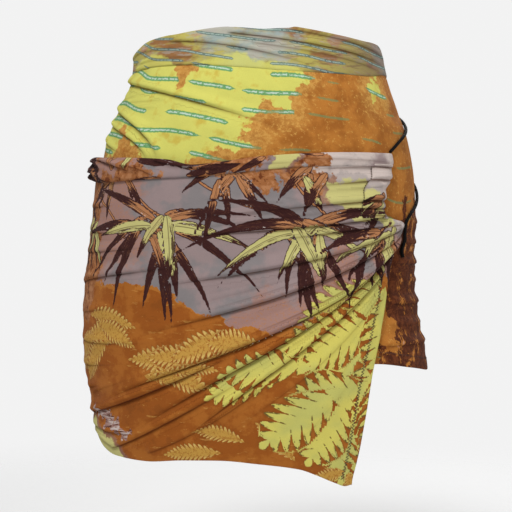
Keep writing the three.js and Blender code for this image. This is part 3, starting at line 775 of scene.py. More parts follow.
MIX_SHARE, MIX_FIRST, MIX_SECOND, MIX_RESULT = 0, 6, 7, 2  # a Mix node's sockets for colours
BUMP_DEPTH = 0.0006  # in metres
YELLOW = (0.63, 0.61, 0.135)
YELLOW_DEEP = (0.58, 0.45, 0.075)
OCHRE = (0.46, 0.175, 0.03)
OCHRE_DARK = (0.33, 0.112, 0.018)
OCHRE_LIGHT = (0.6, 0.32, 0.075)
TEAL = (0.06, 0.29, 0.13)
MIST = (0.55, 0.68, 0.58)
BARK = (0.07, 0.017, 0.006)
BARK_LIT = (0.15, 0.04, 0.012)
PEACH = (0.54, 0.26, 0.15)
MAUVE = (0.3, 0.225, 0.22)
MAUVE_GREY = (0.225, 0.2, 0.2)
MAUVE_PINK = (0.34, 0.195, 0.165)
PALE = (0.56, 0.47, 0.43)
RUST = (0.295, 0.083, 0.011)
RUST_LIGHT = (0.37, 0.12, 0.018)
RUST_DARK = (0.21, 0.06, 0.009)
EMBER = (0.32, 0.12, 0.04)
LEAF_DARK = (0.042, 0.012, 0.011)
LEAF_RUST = (0.43, 0.19, 0.08)
LEAF_PALE = (0.54, 0.5, 0.19)
FROND_YELLOW = (0.63, 0.56, 0.12)
FROND_GREEN = (0.5, 0.48, 0.13)
FROND_OCHRE = (0.5, 0.28, 0.055)
FROND_LIT = (0.64, 0.44, 0.13)
BAND_BROWN = (0.3, 0.14, 0.05)
BAND_PEACH = (0.44, 0.25, 0.14)
BAND_OLIVE = (0.46, 0.4, 0.1)
BAND_WHITE = (0.42, 0.42, 0.37)
BAND_BLUE = (0.27, 0.36, 0.37)
BAND_SHADE = (0.17, 0.1, 0.045)
BAND_DUSK = (0.19, 0.115, 0.085)
BAND_INK = (0.1, 0.17, 0.16)
STROKE_FAVOUR, STROKE_FROM = 0.175, 0.545  # strokes are commoner where the ground is pale
CREASE_HALF = 1.3  # how far a crease's painted dark line of shade reaches either way
CREASE_SHADE = 5.0  # how far the painted shade below it reaches
# the colour that creases are multiplied towards: painted shade
PAINTED_CREASE_SHADE = (0.26, 0.14, 0.09)
PLAIN = (1.0, 1.0, 1.0)
REVERSE = (0.62, 0.56, 0.46)  # the back of the cloth
# the cord's black, and a lighter colour painted on its braid's raised strands as painted sheen
CORD_BLACK, CORD_SHEEN = (0.0015, 0.0013, 0.0012), (0.007, 0.006, 0.0055)
THREAD_DARK, THREAD_LIT = (0.03, 0.018, 0.014), (0.085, 0.05, 0.04)


def jersey(cloth, colour):
    """What every jersey piece shares: fine mottling, painted shade along and just below each crease, which
    is darker and deeper in colour, the pale back of the print on the inner face, and the knit's fine wales."""
    shader = cloth.shader
    speckle = cloth.noise(900.0, 3.0, 0.7)
    colour = colour.tinted(speckle * 0.24 + 0.8 + cloth.noise(55.0, 4.0, 0.6) * 0.16)
    crease = shader.attribute("crease")
    # painted shade: a dark line along each marked crease, and shade just below it
    line = abs(crease).step(CREASE_HALF, 0.1)
    below = crease.step(-CREASE_SHADE, 0.0) * crease.step(0.6, 0.0)
    painted_shade = (line * 0.42 + below * 0.5) * shader.attribute("marked")
    colour = colour.tinted(painted_shade.mix(PLAIN, PAINTED_CREASE_SHADE))
    colour = shader.attribute("inside").mix(colour, shader.mix(0.62, colour, REVERSE))
    wales = cloth.waves(540.0, 1.2, 1.0, 2.0)
    return shader.finish(colour, speckle * 0.8 + wales, 0.35, 0.85, 0.03)


def under_material():
    """Yellow and bark-brown patches with torn edges on mottled ochre, crossed by short teal strokes."""
    shader, cloth = cloth_shader("under_jersey_print")
    ochre = cloth.noise(34.0, 5.0, 0.62).step(0.4, 0.6).mix(OCHRE_DARK, OCHRE)
    yellow = cloth.noise(60.0, 4.0, 0.6).step(0.52, 0.7).mix(YELLOW, YELLOW_DEEP)
    patch = shader.attribute("yellow").ragged(cloth, 70.0, 46.0)
    lit_edge = patch.step(-30.0, -1.0)
    ochre = (lit_edge * 0.5).mix(ochre, OCHRE_LIGHT)
    flecks = cloth.noise(210.0, 5.0, 0.78)
    ochre = ((lit_edge * 0.1 + flecks).step(0.57, 0.62) * 0.8).mix(ochre, OCHRE_LIGHT)
    ochre = (flecks.step(0.42, 0.37) * 0.6).mix(ochre, OCHRE_DARK)
    colour = patch.step(-1.0, 1.0).mix(ochre, yellow)
    bark = cloth.noise(140.0, 4.0, 0.75, 0.8).step(0.42, 0.6).mix(BARK, BARK_LIT)
    embers = cloth.scaled(60.0, 38.0).noise(1.0, 5.0, 0.75, 0.5)
    bark = embers.step(0.56, 0.6).mix(bark, OCHRE)
    bark = embers.step(0.645, 0.665).mix(bark, PEACH)
    dark = shader.attribute("dark").ragged(cloth, 50.0, 60.0)
    colour = dark.step(-1.0, 1.5).mix(colour, bark)
    colour = teal_strokes(cloth, colour, dark.step(1.0, -1.0), patch.step(-14.0, 1.0))
    return jersey(cloth, colour)


def teal_strokes(cloth, colour, allowed, pale, pitch=0.0187, ink=TEAL, bright=0.85):
    """Rows of strokes: a row is a band of the cloth that sways and falls towards the tie side, and a slow
    noise along it, different in each row, says where it is inked and narrows its ends. The middles are pale
    where pale is 1. pitch is in metres."""
    x, z, _ = cloth.split()
    sway = cloth.scaled(9.0, 2.0).noise(1.0, 1.0) * 0.026
    rows = (z + sway + x * (x * -0.2 + 0.12)) / pitch
    offset = abs(rows.math("FRACT") - 0.5)
    place = cloth.shader.put("ShaderNodeCombineXYZ", {"X": x * 20.0, "Y": rows.math("FLOOR") * 7.3})
    reach = pale * STROKE_FAVOUR + place.noise(1.0, 0.0)
    inked = reach.step(STROKE_FROM, STROKE_FROM + 0.06) ** 0.5
    edge = cloth.noise(420.0, 3.0, 0.7) * 0.16 + offset
    half = (pale * 0.06 + 0.16) * inked
    stroke = (half - edge).step(-0.005, 0.03) * allowed
    worn = cloth.noise(260.0, 2.0).step(0.38, 0.48)
    core = (half * 0.58 - edge).step(-0.01, 0.02) * stroke * worn * pale
    colour = (stroke * (pale * 0.4 + 0.45)).mix(colour, ink)
    return (core * bright).mix(colour, MIST)


def waistband_material():
    """Smears of brown, olive, peach and white that are drawn out along the band and run into each other,
    browner towards the tie side, crossed by slate strokes."""
    shader, cloth = cloth_shader("waistband_jersey_print")
    broad = cloth.scaled(13.0, 34.0).noise(1.0, 4.0, 0.6, 0.5)
    other = cloth.scaled(15.0, 44.0).noise(1.0, 4.0, 0.65, 0.4)
    streak = cloth.scaled(30.0, 150.0).noise(1.0, 5.0, 0.7, 0.3)
    colour = broad.step(0.38, 0.5).mix(BAND_BROWN, BAND_OLIVE)
    colour = other.step(0.52, 0.64).mix(colour, BAND_PEACH)
    colour = (streak.step(0.54, 0.64) * 0.45).mix(colour, BAND_WHITE)
    colour = (streak.step(0.46, 0.36) * 0.6).mix(colour, BAND_SHADE)
    white = shader.attribute("white").ragged(cloth, 60.0, 44.0) + streak * 30.0
    milky = other.step(0.42, 0.56).mix(BAND_BLUE, BAND_WHITE)
    colour = (white.step(-1.0, 27.0) * 0.88).mix(colour, milky)
    yellow = shader.attribute("yellow").ragged(cloth, 60.0, 50.0)
    colour = (yellow.step(-8.0, 4.0) * 0.8).mix(colour, YELLOW)
    x, _, _ = cloth.split()
    tie_side = x.step(0.03, 0.17) * x.step(0.42, 0.28)
    colour = (tie_side * 0.65).mix(colour, BAND_DUSK)
    allowed = cloth.noise(30.0, 2.0).step(0.26, 0.36)
    colour = teal_strokes(cloth, colour, allowed, streak.step(0.2, 0.34), 0.0116, BAND_INK, 0.5)
    return jersey(cloth, colour)


def leaf_parts(cloth, name):
    """How deep in a leaf each place is, how far across and along it, and the leaf's tone."""
    shader = cloth.shader
    return *shader.attribute(name, "Vector").split(), shader.attribute(f"{name}_tone")


def slender_leaves(cloth, colour):
    """Slender leaves, pale or rust at the foot and dark towards the tip, with a dark edge and rib, streaks
    that run along them, and a broken pale line inside one edge."""
    depth, across, far, tone = leaf_parts(cloth, "slender")
    depth = depth.ragged(cloth, 230.0, 2.6)
    place = cloth.shader.put("ShaderNodeCombineXYZ", {"X": across, "Y": far, "Z": tone})
    streak = place.scaled(2.6, 3.4, 9.0).noise(1.0, 4.0, 0.7)
    foot = tone.step(0.58, 0.66).mix(LEAF_RUST, LEAF_PALE)
    turn = streak * 1.1 + far - (tone * 0.86 + 0.56)
    base = turn.step(-0.03, 0.03).mix(foot, LEAF_DARK)
    shaded = across.step(0.12, 0.3) * streak.step(0.5, 0.54)
    base = (shaded * 0.9).mix(base, LEAF_DARK)
    hatch = place.scaled(14.0, 9.0, 9.0).noise(1.0, 3.0, 0.7)
    base = (hatch.step(0.58, 0.66) * 0.3).mix(base, LEAF_RUST)
    line = abs(across - 0.5).step(0.14, 0.05)
    dots = cloth.noise(300.0, 3.0, 0.8).step(0.56, 0.6) * cloth.noise(34.0, 1.0).step(0.52, 0.58)
    base = (line * dots).mix(base, PALE)
    rib = abs(across).step(0.1, 0.06) * 0.6
    base = depth.step(1.0, 0.6).math("MAXIMUM", rib).mix(base, LEAF_DARK)
    return depth.step(-0.2, 0.3).mix(colour, base)


def fronds(cloth, colour):
    """Fern fronds, large and yellow or small and ochre. Leaflets lean forwards from the midrib; each is as
    wide as the root of 1 - u^2 at the share u of its own length, and they join at their feet. Broken dark
    ticks lie between them and along their tips."""
    depth, across, far, tone = leaf_parts(cloth, "broad")
    large = tone.math("GREATER_THAN", 0.5)
    count = large * (LARGE_LEAFLETS - SMALL_LEAFLETS) + SMALL_LEAFLETS
    spread = abs(across)
    place = spread * -LEAFLET_LEAN + far * count
    foot = ((place.math("FLOOR") + 0.5) / count).math("MAXIMUM", 0.001).math("MINIMUM", 0.999)
    reach = (foot**FROND_SHAPE * math.pi).math("SINE")
    u = spread / reach.math("MAXIMUM", 0.05)
    off = abs(place.math("FRACT") - 0.5)
    width = (u * u * -1.0 + 1.0).math("MAXIMUM", 0.0).math("SQRT").math("MINIMUM", 0.8)
    edge = (width + u.step(0.62, 0.2) * 0.45 - off * 2.0).ragged(cloth, 260.0, 0.5)
    yellow = cloth.noise(20.0, 3.0, 0.6).step(0.4, 0.62).mix(FROND_YELLOW, FROND_GREEN)
    small = u.step(0.35, 0.9).mix(FROND_OCHRE, FROND_LIT)
    small = (cloth.noise(320.0, 3.0, 0.75).step(0.5, 0.6) * 0.55).mix(small, RUST)
    between = off.step(0.4, 0.46) * u.step(0.75, 0.6) * u.step(0.12, 0.25)
    rim = edge.step(0.42, 0.26) * u.step(0.5, 0.7)
    broken = cloth.noise(210.0, 2.0).step(0.48, 0.53)
    ink = between.math("MAXIMUM", rim) * broken * (large * 0.5 + 0.35)
    base = ink.mix(large.mix(small, yellow), BARK)
    shadow = edge.step(-0.5, -0.02) * depth.step(-3.0, 0.0)
    colour = (shadow * 0.5).mix(colour, RUST_DARK)
    return (edge.step(-0.02, 0.1) * depth.step(-1.2, 0.0)).mix(colour, base)


def wrap_material():
    """Slender leaves on a mauve ground above rust hills with fronds, and patches of other colours."""
    shader, cloth = cloth_shader("wrap_jersey_print")

    def field(name, scale, amount):
        return shader.attribute(name).ragged(cloth, scale, amount)

    sky = cloth.noise(16.0, 4.0, 0.6).step(0.44, 0.54).mix(MAUVE_GREY, MAUVE)
    grains = cloth.noise(460.0, 3.0, 0.7).step(0.54, 0.6) * 0.6
    sky = field("pink", 40.0, 60.0).step(-6.0, 8.0).mix(sky, grains.mix(MAUVE_PINK, LEAF_RUST))
    sky = field("pale", 40.0, 50.0).step(-8.0, 8.0).mix(sky, PALE)
    tones = cloth.noise(30.0, 5.0, 0.65)
    earth = tones.step(0.46, 0.56).mix(RUST, RUST_LIGHT)
    earth = (tones.step(0.42, 0.34) * 0.5).mix(earth, RUST_DARK)
    scratches = cloth.scaled(60.0, 240.0).noise(1.0, 4.0, 0.7)
    earth = (scratches.step(0.62, 0.66) * 0.5).mix(earth, OCHRE_LIGHT)
    earth = (scratches.step(0.36, 0.3) * 0.5).mix(earth, RUST_DARK)
    height = field("above_hills", 48.0, 30.0)
    ground = height.step(-0.6, 0.6).mix(earth, sky)
    bushes = cloth.noise(26.0, 3.0, 0.6) * 60.0 - 26.0
    fringe = (bushes + height).step(-0.5, 0.5) * height.step(0.4, 0.0)
    ground = (fringe * 0.7).mix(ground, OCHRE)
    lick = cloth.noise(110.0, 4.0, 0.7)
    flame = lick.step(0.5, 0.6).mix(EMBER, LEAF_RUST)
    flame = lick.step(0.45, 0.4).mix(flame, BARK_LIT)
    ground = field("ember", 90.0, 34.0).step(-1.5, 1.5).mix(ground, flame)
    glow = field("glow", 70.0, 26.0)
    ground = (glow.step(-8.0, -4.0) * 0.4).mix(ground, MAUVE_GREY)
    ground = glow.step(-1.5, 1.5).mix(ground, LEAF_PALE)
    colour = fronds(cloth, ground)
    cracks = cloth.scaled(60.0, 330.0, turn=0.5).noise(1.0, 4.0, 0.8, 0.6)
    slab = cracks.step(0.5, 0.56).mix(MAUVE_PINK, PALE)
    slab = cracks.step(0.45, 0.4).mix(slab, BARK)
    colour = field("stone", 150.0, 20.0).step(-0.5, 0.5).mix(colour, slab)
    stem = field("stem", 200.0, 2.0)
    colour = stem.step(-0.3, 0.3).mix(colour, LEAF_DARK)
    colour = stem.step(0.6, 1.0).mix(colour, LEAF_RUST)
    return jersey(cloth, slender_leaves(cloth, colour))


def cord_material():
    """A round black cord: a fine diagonal braid on its own length and girth, with painted sheen on its
    raised strands.
    """
    shader, cloth = cloth_shader("black_cord")
    left, right = (cloth.scaled(1.0, 1.0, turn=lean).waves(330.0) for lean in (0.8, -0.8))
    height = left.math("MAXIMUM", right)
    return shader.finish(height.mix(CORD_BLACK, CORD_SHEEN), height, 0.6, 0.7, 0.0)


def thread_material():
    """Matt dark brown thread."""
    shader = Shader("thread")
    fibre = shader.put("ShaderNodeTexCoord", {}, "Object").noise(1500.0)
    return shader.finish(fibre.mix(THREAD_DARK, THREAD_LIT), fibre, 0.3, 0.7, 0.1)


# ---- Pieces


def grid(columns, rows):
    """The share of the way round and down at each line of a grid."""
    return np.meshgrid(np.linspace(0, 1, columns + 1), np.linspace(0, 1, rows + 1), indexing="ij")


def hem_turn(distance):
    """1 where the hem's turned cloth lies under the cloth, 0 beyond it."""
    return 1 - smoothstep(distance, HEM_TURN - 1.0, HEM_TURN + 1.0)


def dress(piece, material, node):
    """Gives a piece its material and body, and hides the node that it stands for, if any."""
    piece.data.materials.append(material)
    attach(piece, "root")
    if node:
        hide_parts(node)
    return piece


def waistband(material):
    """The doubled band: a strip from the seam to the top of the waist whose ends meet at the centre back. It
    is crowned as the root of a sine from edge to edge."""
    share, down = grid(*BAND_GRID)
    around = mix(-179.95, 179.95, share)
    z = mix(along(WAIST_TOP, "around", "z", around), along(WAIST_SEAM, "around", "z", around), down)
    lift, marks, _ = fold_relief(WAISTBAND_FOLDS, around, z)
    crown = BAND_CROWN * np.sin(math.pi * down) ** 0.5
    outer = on_body(UNDER_SECTIONS, around, z, BAND_PROUD + lift + crown)
    x = around * MM_PER_DEGREE
    marks["white"] = patch_field(WHITE_PATCHES, x, z)
    marks["yellow"] = patch_field(UNDER_PATCHES["yellow"], x, z) - BAND_FADES * (1 - down)
    piece = cloth_shell("waistband_cloth", outer, BAND_CLOTH, x, z, marks)
    dress(piece, material, "waistband")


def bearing_of(around):
    """The same direction, between -180 and 180."""
    return np.where(around > 180, around - 360, around)


def under_place(around, z, out=0.0):
    """A place on the under-skirt, with its folds."""
    lift, marks, shift = fold_relief(UNDER_FOLDS, around, z)
    return on_body(UNDER_SECTIONS, bearing_of(around), z, lift + out), marks, shift


def under_panel(name, node, material, first, last, size):
    """Half of the tube, from the waist seam to the hem, between its side seams."""
    share, down = grid(*size)
    around = mix(first, last, share)
    bearing = bearing_of(around)
    hem = along(UNDER_HEM, "around", "z", bearing)
    z = mix(along(WAIST_SEAM, "around", "z", bearing) - WAIST_GAP, hem, down)
    turned = hem_turn(z - hem)
    outer, marks, shift = under_place(around, z, UNDER_HEM_PROUD * turned)
    x = around * MM_PER_DEGREE
    marks |= printed(UNDER_PATCHES, x, z + shift)
    piece = cloth_shell(name, outer, JERSEY + TURNED * turned, x, z + shift, marks)
    dress(piece, material, node)


def wrap_top(around):
    """The wrap's top line, just inside the rolled top above it."""
    return along(ROLL, "around", "bottom", around) + WRAP_UNDER_ROLL


def wrap_place(around, z, out=0.0):
    """A place on the wrap, with its folds. Near the tip it rises over the cord."""
    lift, marks, shift = fold_relief(WRAP_FOLDS, around, z)
    away = ((around - RISE_AROUND) / RISE_WIDTH) ** 2 + ((z - RISE_Z) / RISE_HEIGHT) ** 2
    over_cord = RISE_OVER_CORD * np.exp(-away)
    held = SEAM_HOLD * np.exp(-(((around + 90) / SEAM_SPREAD) ** 2))
    lift = lift * (1 - held) - SEAM_TIGHT * held
    return on_body(WRAP_SECTIONS, around, z, lift + out + over_cord), marks, shift


def wrap_rows(around, down):
    """The heights of the wrap's rows, which run evenly from its top line to its hem."""
    return mix(wrap_top(around), along(WRAP_HEM, "around", "z", around), down)


def wrap_front_grid(share, down):
    """The angle and height at a share of the way round and down the wrap front, and the distance from its
    free edge. The outermost columns turn from the edge's trend to the edge itself, both read at the row's
    height."""
    edge_z = mix(float(wrap_top(WRAP_EDGE["around"][-1])), WRAP_EDGE["z"][0], down)
    edge = along(WRAP_EDGE, "z", "around", edge_z)
    trend = along(WRAP_TREND, "z", "around", edge_z)
    around = mix(-90 + SEAM_SIDE, trend, share) + (edge - trend) * smoothstep(share, EDGE_COLUMNS, 1)
    return around, wrap_rows(around, down), (edge - around) * MM_PER_DEGREE


def wrap_panel(name, node, material, around, z, turned):
    """A panel of the wrap: turned is 1 where a hem is turned under it."""
    outer, marks, shift = wrap_place(around, z, WRAP_HEM_PROUD * turned)
    x = around * MM_PER_DEGREE
    marks |= wrap_print(x, z + shift)
    piece = cloth_shell(name, outer, JERSEY + TURNED * turned, x, z + shift, marks)
    return dress(piece, material, node)


def wrap_front(material):
    """The wrap's front panel, with its turned free edge."""
    around, z, from_edge = wrap_front_grid(*grid(*WRAP_FRONT_GRID))
    edge_turned = hem_turn(from_edge) * smoothstep(-z, 225, 245)
    turned = np.maximum(edge_turned, hem_turn(z - z[:, -1:]) * 0.5)
    piece = wrap_panel("wrap_front_cloth", "wrap_front", material, around, z, turned)


def wrap_back(material):
    """The wrap's back panel, from the centre back to the wrap side's seam."""
    share, down = grid(*WRAP_BACK_GRID)
    around = mix(CENTRE_BACK, -90 - SEAM_SIDE, share)
    z = wrap_rows(around, down)
    turned = hem_turn(z - z[:, -1:]) * 0.5
    piece = wrap_panel("wrap_back_cloth", "wrap_back", material, around, z, turned)


def squarish(wave, power):
    """A sine or cosine with fuller shoulders: its size raised to a power under 1."""
    return np.sign(wave) * np.abs(wave) ** power


def folded_top(material):
    """The rolled top: a flattened oval, fuller at its lower lip, carried round the under-skirt from the
    centre back to the free edge, with the strands of cloth that twist round it."""
    columns, sides = ROLL_GRID
    share, turn = np.meshgrid(np.linspace(0, 1, columns + 1), np.arange(sides) / sides, indexing="ij")
    turn = turn * 2 * math.pi
    around = mix(CENTRE_BACK, ROLL["around"][-1], share)
    top, bottom, thick = (along(ROLL, "around", size, around) for size in ("top", "bottom", "thick"))
    closing = np.sqrt(np.clip(1 - share, 0, ROLL_CLOSES) / ROLL_CLOSES)
    bottom = top - (top - bottom) * mix(ROLL_END_HEIGHT, 1.0, closing)
    thick = thick * mix(ROLL_END_THICK, 1.0, closing)
    z = mix(bottom, top, 0.5 + 0.5 * squarish(np.sin(turn), OVAL_UPRIGHT))
    face = 0.5 + 0.5 * squarish(np.cos(turn), OVAL_DEEP)
    lean = ROLL_SAG * thick * (1 - (z - bottom) / (top - bottom))
    lift, marks, shift = fold_relief(ROLL_FOLDS, around, z)
    x = around * MM_PER_DEGREE
    bunched = np.exp(-(((around - BUNCH_AT) / BUNCH_WIDTH) ** 2))
    swaying = STRAND_SWAY * np.sin(x / SWAY_LENGTH)
    strand = np.abs(np.sin((z + STRAND_SLOPE * x) / STRAND + swaying))
    lift = lift + bunched * TWIST * (strand - 0.5)
    # the valleys between the twisted strands get painted shade, as creases do
    marks["crease"] = np.where(bunched > marks["marked"], -STRAND * strand, marks["crease"])
    marks["marked"] = np.maximum(bunched, marks["marked"])
    rings, _, _ = under_place(around, z, ROLL_CLEARANCE + (thick + lean + lift) * face)
    rolled_z = 2 * bottom - z + ROLLED_AWAY + shift
    marks |= wrap_print(x, rolled_z) | {"inside": np.zeros_like(z)}
    tips = rings[[0, -1]].mean(axis=1)
    piece = ringed_form("folded_top_cloth", rings, tips, np.stack([x, rolled_z], axis=-1), marks)
    dress(piece, material, "fold_band")


GATHERS = np.array([-137.3, -150.8, -172.7, -181, -188.3])


def cord_channel(material):
    """The gathered channel along the top of the free edge: it stands out as a root of a sine across, and
    sinks to a narrow bell at each gather."""
    share, down = grid(*CHANNEL_GRID)
    top = along(ROLL, "around", "bottom", CHANNEL_TOP_AT) + CHANNEL_UNDER_ROLL
    z = mix(top, CHANNEL_FOOT, down)
    seam, edge = along(CHANNEL_SEAM, "z", "around", z), along(WRAP_EDGE, "z", "around", z)
    around = mix(seam, edge + CHANNEL_LAP, share)
    below = z[..., None] - GATHERS
    nearest = np.take_along_axis(below, np.abs(below).argmin(axis=-1)[..., None], axis=-1)[..., 0]
    pinch = np.exp(-((nearest / PINCH_WIDTH) ** 2))
    arch = np.sin(math.pi * np.clip(share * 1.04 + 0.02, 0, 1)) ** 0.55
    out = CHANNEL_CLEARANCE + CHANNEL_FULLNESS * arch * (1 - CHANNEL_PINCH * pinch)
    outer, _, shift = wrap_place(around, z, out)
    x = around * MM_PER_DEGREE + CHANNEL_PRINT
    # the gathers get painted shade, as creases do
    marks = {"crease": nearest, "marked": np.full_like(z, 0.9)} | wrap_print(x, z + shift)
    piece = cloth_shell("cord_channel_cloth", outer, JERSEY, x, z + shift, marks)
    dress(piece, material, "cord_channel")


UPPER_CORD = table(
    "around z",
    (55.4, -120.6), (61.5, -112), (70, -102), (82, -90), (94, -79), (112, -65), (132, -51.5), (149, -40.5),
)
LOWER_CORD = table(
    "around z",
    (171, -42), (160, -64), (142, -95), (124, -118), (106, -138), (93, -154), (83, -168), (75, -178),
    (68, -186), (64.4, -195), (63.6, -205), (62.6, -214), (61.9, -222), (61.7, -231),
)


def travelled(path):
    """How far along a path each of its points lies."""
    return np.append(0, np.cumsum(np.linalg.norm(np.diff(path, axis=0), axis=1)))


def through(points, count):
    """A smooth curve through points, at count places evenly along it: the Catmull-Rom spline."""
    padded = np.concatenate([2 * points[:1] - points[1:2], points, 2 * points[-1:] - points[-2:-1]])
    steps = np.linspace(0, len(points) - 1, 24 * len(points))
    i = np.minimum(steps.astype(int), len(points) - 2)
    t = (steps - i)[:, None]
    a, b, c, d = (padded[i + k] for k in range(4))
    curve = b + t / 2 * (c - a + t * (2 * a - 5 * b + 4 * c - d + t * (3 * (b - c) + d - a)))
    far = travelled(curve)
    even = np.linspace(0, far[-1], count)
    return np.stack([np.interp(even, far, axis) for axis in curve.T], axis=1), far[-1]


def tube(name, path, radius, sides):
    """A round tube along a path: each ring stands across the path, turned as little as possible from the one
    before it, and each end is drawn to a tip."""
    forward = unit(np.gradient(path, axis=0))
    upright = np.zeros_like(path)
    upright[0] = unit(np.cross(forward[0], [0.3, 0.2, 1.0]))
    for i in range(1, len(path)):
        upright[i] = unit(upright[i - 1] - forward[i] * (upright[i - 1] @ forward[i]))
    sideways = np.cross(forward, upright)
    turn = np.arange(sides) / sides * 2 * math.pi
    cosine, sine = np.cos(turn)[:, None], np.sin(turn)[:, None]
    rings = path[:, None] + radius * (cosine * upright[:, None] + sine * sideways[:, None])
    tips = path[[0, -1]] + forward[[0, -1]] * [[-radius / 2], [radius / 2]]
    run = np.linspace(0, travelled(path)[-1], len(path))
    cloth = np.stack(np.meshgrid(run, turn * radius, indexing="ij"), axis=-1)
    return ringed_form(name, rings, tips, cloth, {}, flipped=True)


def cord(name, node, places, material, count):
    """A stretch of the cord on the under-skirt, through its places."""
    plan, _ = through(np.stack([places["around"] * MM_PER_DEGREE, places["z"]], axis=1), 60)
    laid, _, _ = under_place(plan[:, 0] / MM_PER_DEGREE, plan[:, 1], CORD_CLEARANCE + CORD_RADIUS)
    path, length = through(laid, count)
    piece = dress(tube(name, path, CORD_RADIUS, CORD_SIDES), material, node)


STITCH_ALONG, STITCH_ROUND = 7, 5  # the points of a stitch


def stitches(name, run, length, width, material):
    """Thread stitches: each is a flat-bottomed lens, as wide and high along it as half an ellipse, laid in
    its direction and humped outwards. run gives their middles, directions and outward directions."""
    middle, direction, outward = run
    share = np.linspace(-1, 1, STITCH_ALONG)[:, None]
    girth = np.linspace(0, math.pi, STITCH_ROUND)
    thick = np.sqrt(1 - share**2) * width / 2
    form = np.broadcast_arrays(share * length / 2, thick * np.cos(girth), thick * np.sin(girth))
    ahead, up = unit(direction), unit(outward)
    axes = np.stack([ahead, np.cross(up, ahead), up], axis=1)
    points = middle[:, None, None] + np.stack(form, axis=-1) @ axes[:, None]
    index = np.arange(STITCH_ALONG * STITCH_ROUND).reshape(STITCH_ALONG, STITCH_ROUND)
    faces = quads(index, (0, 3, 2, 1)) + index.size * np.arange(len(middle))[:, None, None]
    piece = make_mesh(name, points.reshape(-1, 3), faces.reshape(-1, 4).tolist())
    dress(piece, material, None)


def stitch_run(place, start, end, pitch, zigzag):
    """The middles, directions and outward directions of stitches along a line on a surface: place gives the
    surface's points for pairs of a share along the line and a distance across it. With a zigzag over 0,
    each stitch crosses the line."""
    shares = np.linspace(start, end, 400)
    far = travelled(place(shares, np.zeros(400)))
    count = int(far[-1] / pitch)
    knots = np.interp(np.arange(count + 1) * pitch, far, shares)
    pricked = place(knots, zigzag / 2 * (-1.0) ** np.arange(count + 1))
    middle = (pricked[1:] + pricked[:-1]) / 2
    return middle, pricked[1:] - pricked[:-1], middle * OUTWARD


OUTWARD = [1, 2.4, 0]  # an ellipse's outward direction: its places, stretched by these


def edge_row(down, across):
    """The line of the free edge's zigzag."""
    edge, z, _ = wrap_front_grid(np.ones_like(down), down)
    around = edge - (HEM_TURN - EDGE_INSET - across) / MM_PER_DEGREE
    return wrap_place(around, z, EDGE_STITCH_OUT)[0]


def channel_row(down, across):
    """The line of the channel's stitches, beside its seam."""
    z = mix(CHANNEL_HEAD, CHANNEL_FOOT, down)
    around = along(CHANNEL_SEAM, "z", "around", z) + (across - CHANNEL_INSET) / MM_PER_DEGREE
    return wrap_place(around, z, CHANNEL_STITCH_OUT)[0]


def hem_row(share, across):
    """The line of the under-skirt's hem stitches, all round."""
    around = mix(-89.0, 269.0, share)
    z = along(UNDER_HEM, "around", "z", bearing_of(around)) + HEM_TURN - HEM_INSET + across
    return under_place(around, z, HEM_STITCH_OUT)[0]


def back_row(down, across):
    """The line of the stitches that hold the wrap at the centre back."""
    around = CENTRE_BACK + (BACK_INSET + across) / MM_PER_DEGREE
    return wrap_place(around, wrap_rows(around, down), BACK_STITCH_OUT)[0]


# A row's name, line, start and end along it, pitch and zigzag, and its stitches' length and width
SEWN_ROWS = (
    ("wrap_edge_zigzag", edge_row, 0.36, 0.985, 1.7, 3.6, 4.2, 0.7),
    ("channel_stitches", channel_row, 0.2, 1.0, 2.8, 0.0, 2.0, 0.9),
    ("under_hem_stitches", hem_row, 0.0, 1.0, 2.4, 2.2, 2.6, 0.5),
    ("centre_back_stitches", back_row, 0.02, 0.99, 2.6, 0.0, 2.1, 0.5),
)


def sewing(material):
    """Every visible row of stitches."""
    for name, line, start, end, pitch, zigzag, length, width in SEWN_ROWS:
        stitches(name, stitch_run(line, start, end, pitch, zigzag), length, width, material)


# ---- Studio: the places and sizes of the camera and lamps are in metres


def surroundings():
    """Even soft light from all round, and a pale grey where the camera sees past the floor."""
    world = bpy.data.worlds.new("surroundings")
    world.use_nodes = True
    nodes, links = world.node_tree.nodes, world.node_tree.links
    seen, lighting = nodes.new("ShaderNodeBackground"), nodes["Background"]
    seen.inputs["Color"].default_value = (0.89, 0.89, 0.89, 1)
    lighting.inputs["Color"].default_value = (1.0, 1.0, 1.0, 1)
    lighting.inputs["Strength"].default_value = 0.42
    path, blend = nodes.new("ShaderNodeLightPath"), nodes.new("ShaderNodeMixShader")
    links.new(path.outputs["Is Camera Ray"], blend.inputs[0])
    links.new(lighting.outputs[0], blend.inputs[1])
    links.new(seen.outputs[0], blend.inputs[2])
    links.new(blend.outputs[0], nodes["World Output"].inputs["Surface"])
    return world


def lamp(name, place, size, power):
    """A round lamp that faces the middle of the skirt."""
    light = bpy.data.lights.new(name, "AREA")
    light.shape, light.size, light.energy = "DISK", size, power
    piece = bpy.data.objects.new(name, light)
    piece.location = place
    x, y, z = np.subtract(SKIRT_MIDDLE, place)
    piece.rotation_euler = (math.atan2(math.hypot(x, y), -z), 0.0, math.atan2(y, x) - math.pi / 2)
    bpy.context.scene.collection.objects.link(piece)


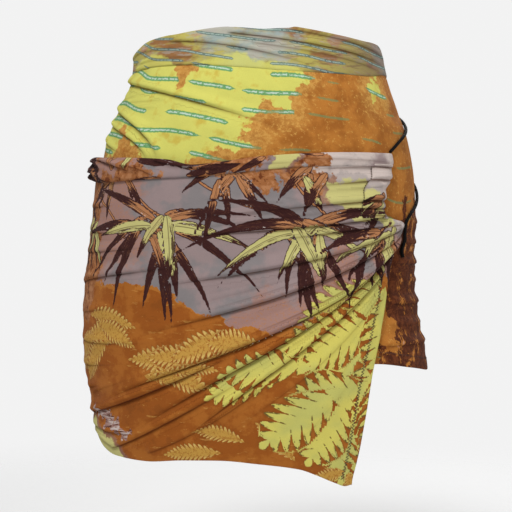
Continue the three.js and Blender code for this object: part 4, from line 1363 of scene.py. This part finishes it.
SKIRT_MIDDLE = (0, 0, -0.25)
FLOOR_SIZE, FLOOR_HEIGHT, FLOOR_SIDES = 3000, -640, 96


def floor():
    """A pale disc that fades out round its rim."""
    angle = np.arange(FLOOR_SIDES) * 2 * math.pi / FLOOR_SIDES
    rim = np.stack([np.cos(angle), np.sin(angle), np.zeros(FLOOR_SIDES)], axis=1) * FLOOR_SIZE
    rim[:, 2] = FLOOR_HEIGHT
    disc = make_mesh("floor", rim, [list(range(FLOOR_SIDES))])
    shader = Shader("pale_floor")
    x, y, _ = shader.put("ShaderNodeTexCoord", {}, "Object").split()
    alpha = (x * x + y * y).math("SQRT").step(1.5, 0.5)
    shader.feed(shader.surface, {"Base Color": (0.86, 0.86, 0.86), "Roughness": 0.9, "Alpha": alpha})
    disc.data.materials.append(shader.material)


def studio():
    """The camera, the floor and soft light, mostly from the front."""
    scene = bpy.context.scene
    scene.view_settings.view_transform = "Standard"
    camera = bpy.data.objects.new("camera", bpy.data.cameras.new("camera"))
    camera.location = (0.0, -1.35, -0.23)
    camera.rotation_euler = (math.radians(90), 0.0, 0.0)
    camera.data.sensor_width = 36.0
    camera.data.lens = 86.3
    scene.collection.objects.link(camera)
    scene.camera = camera
    scene.world = surroundings()
    lamp("key", (-0.35, -1.25, 1.25), 0.6, 24)
    lamp("fill", (1.3, -1.2, 0.2), 1.2, 6)
    lamp("back", (0.6, 1.5, 0.9), 1.0, 18)
    floor()


studio()
cord_black = cord_material()
cord("cord_upper_braid", "cord_upper", UPPER_CORD, cord_black, 150)
cord("cord_lower_braid", "cord_lower", LOWER_CORD, cord_black, 220)

under_jersey = under_material()
wrap_jersey = wrap_material()
waistband(waistband_material())
under_panel("under_front_cloth", "under_front", under_jersey, -90 + SEAM_SIDE, 90 - SEAM_SIDE,
            UNDER_FRONT_GRID)
under_panel("under_back_cloth", "under_back", under_jersey, 90 + SEAM_SIDE, 270 - SEAM_SIDE,
            UNDER_BACK_GRID)
wrap_front(wrap_jersey)
wrap_back(wrap_jersey)
folded_top(wrap_jersey)
cord_channel(wrap_jersey)
sewing(thread_material())
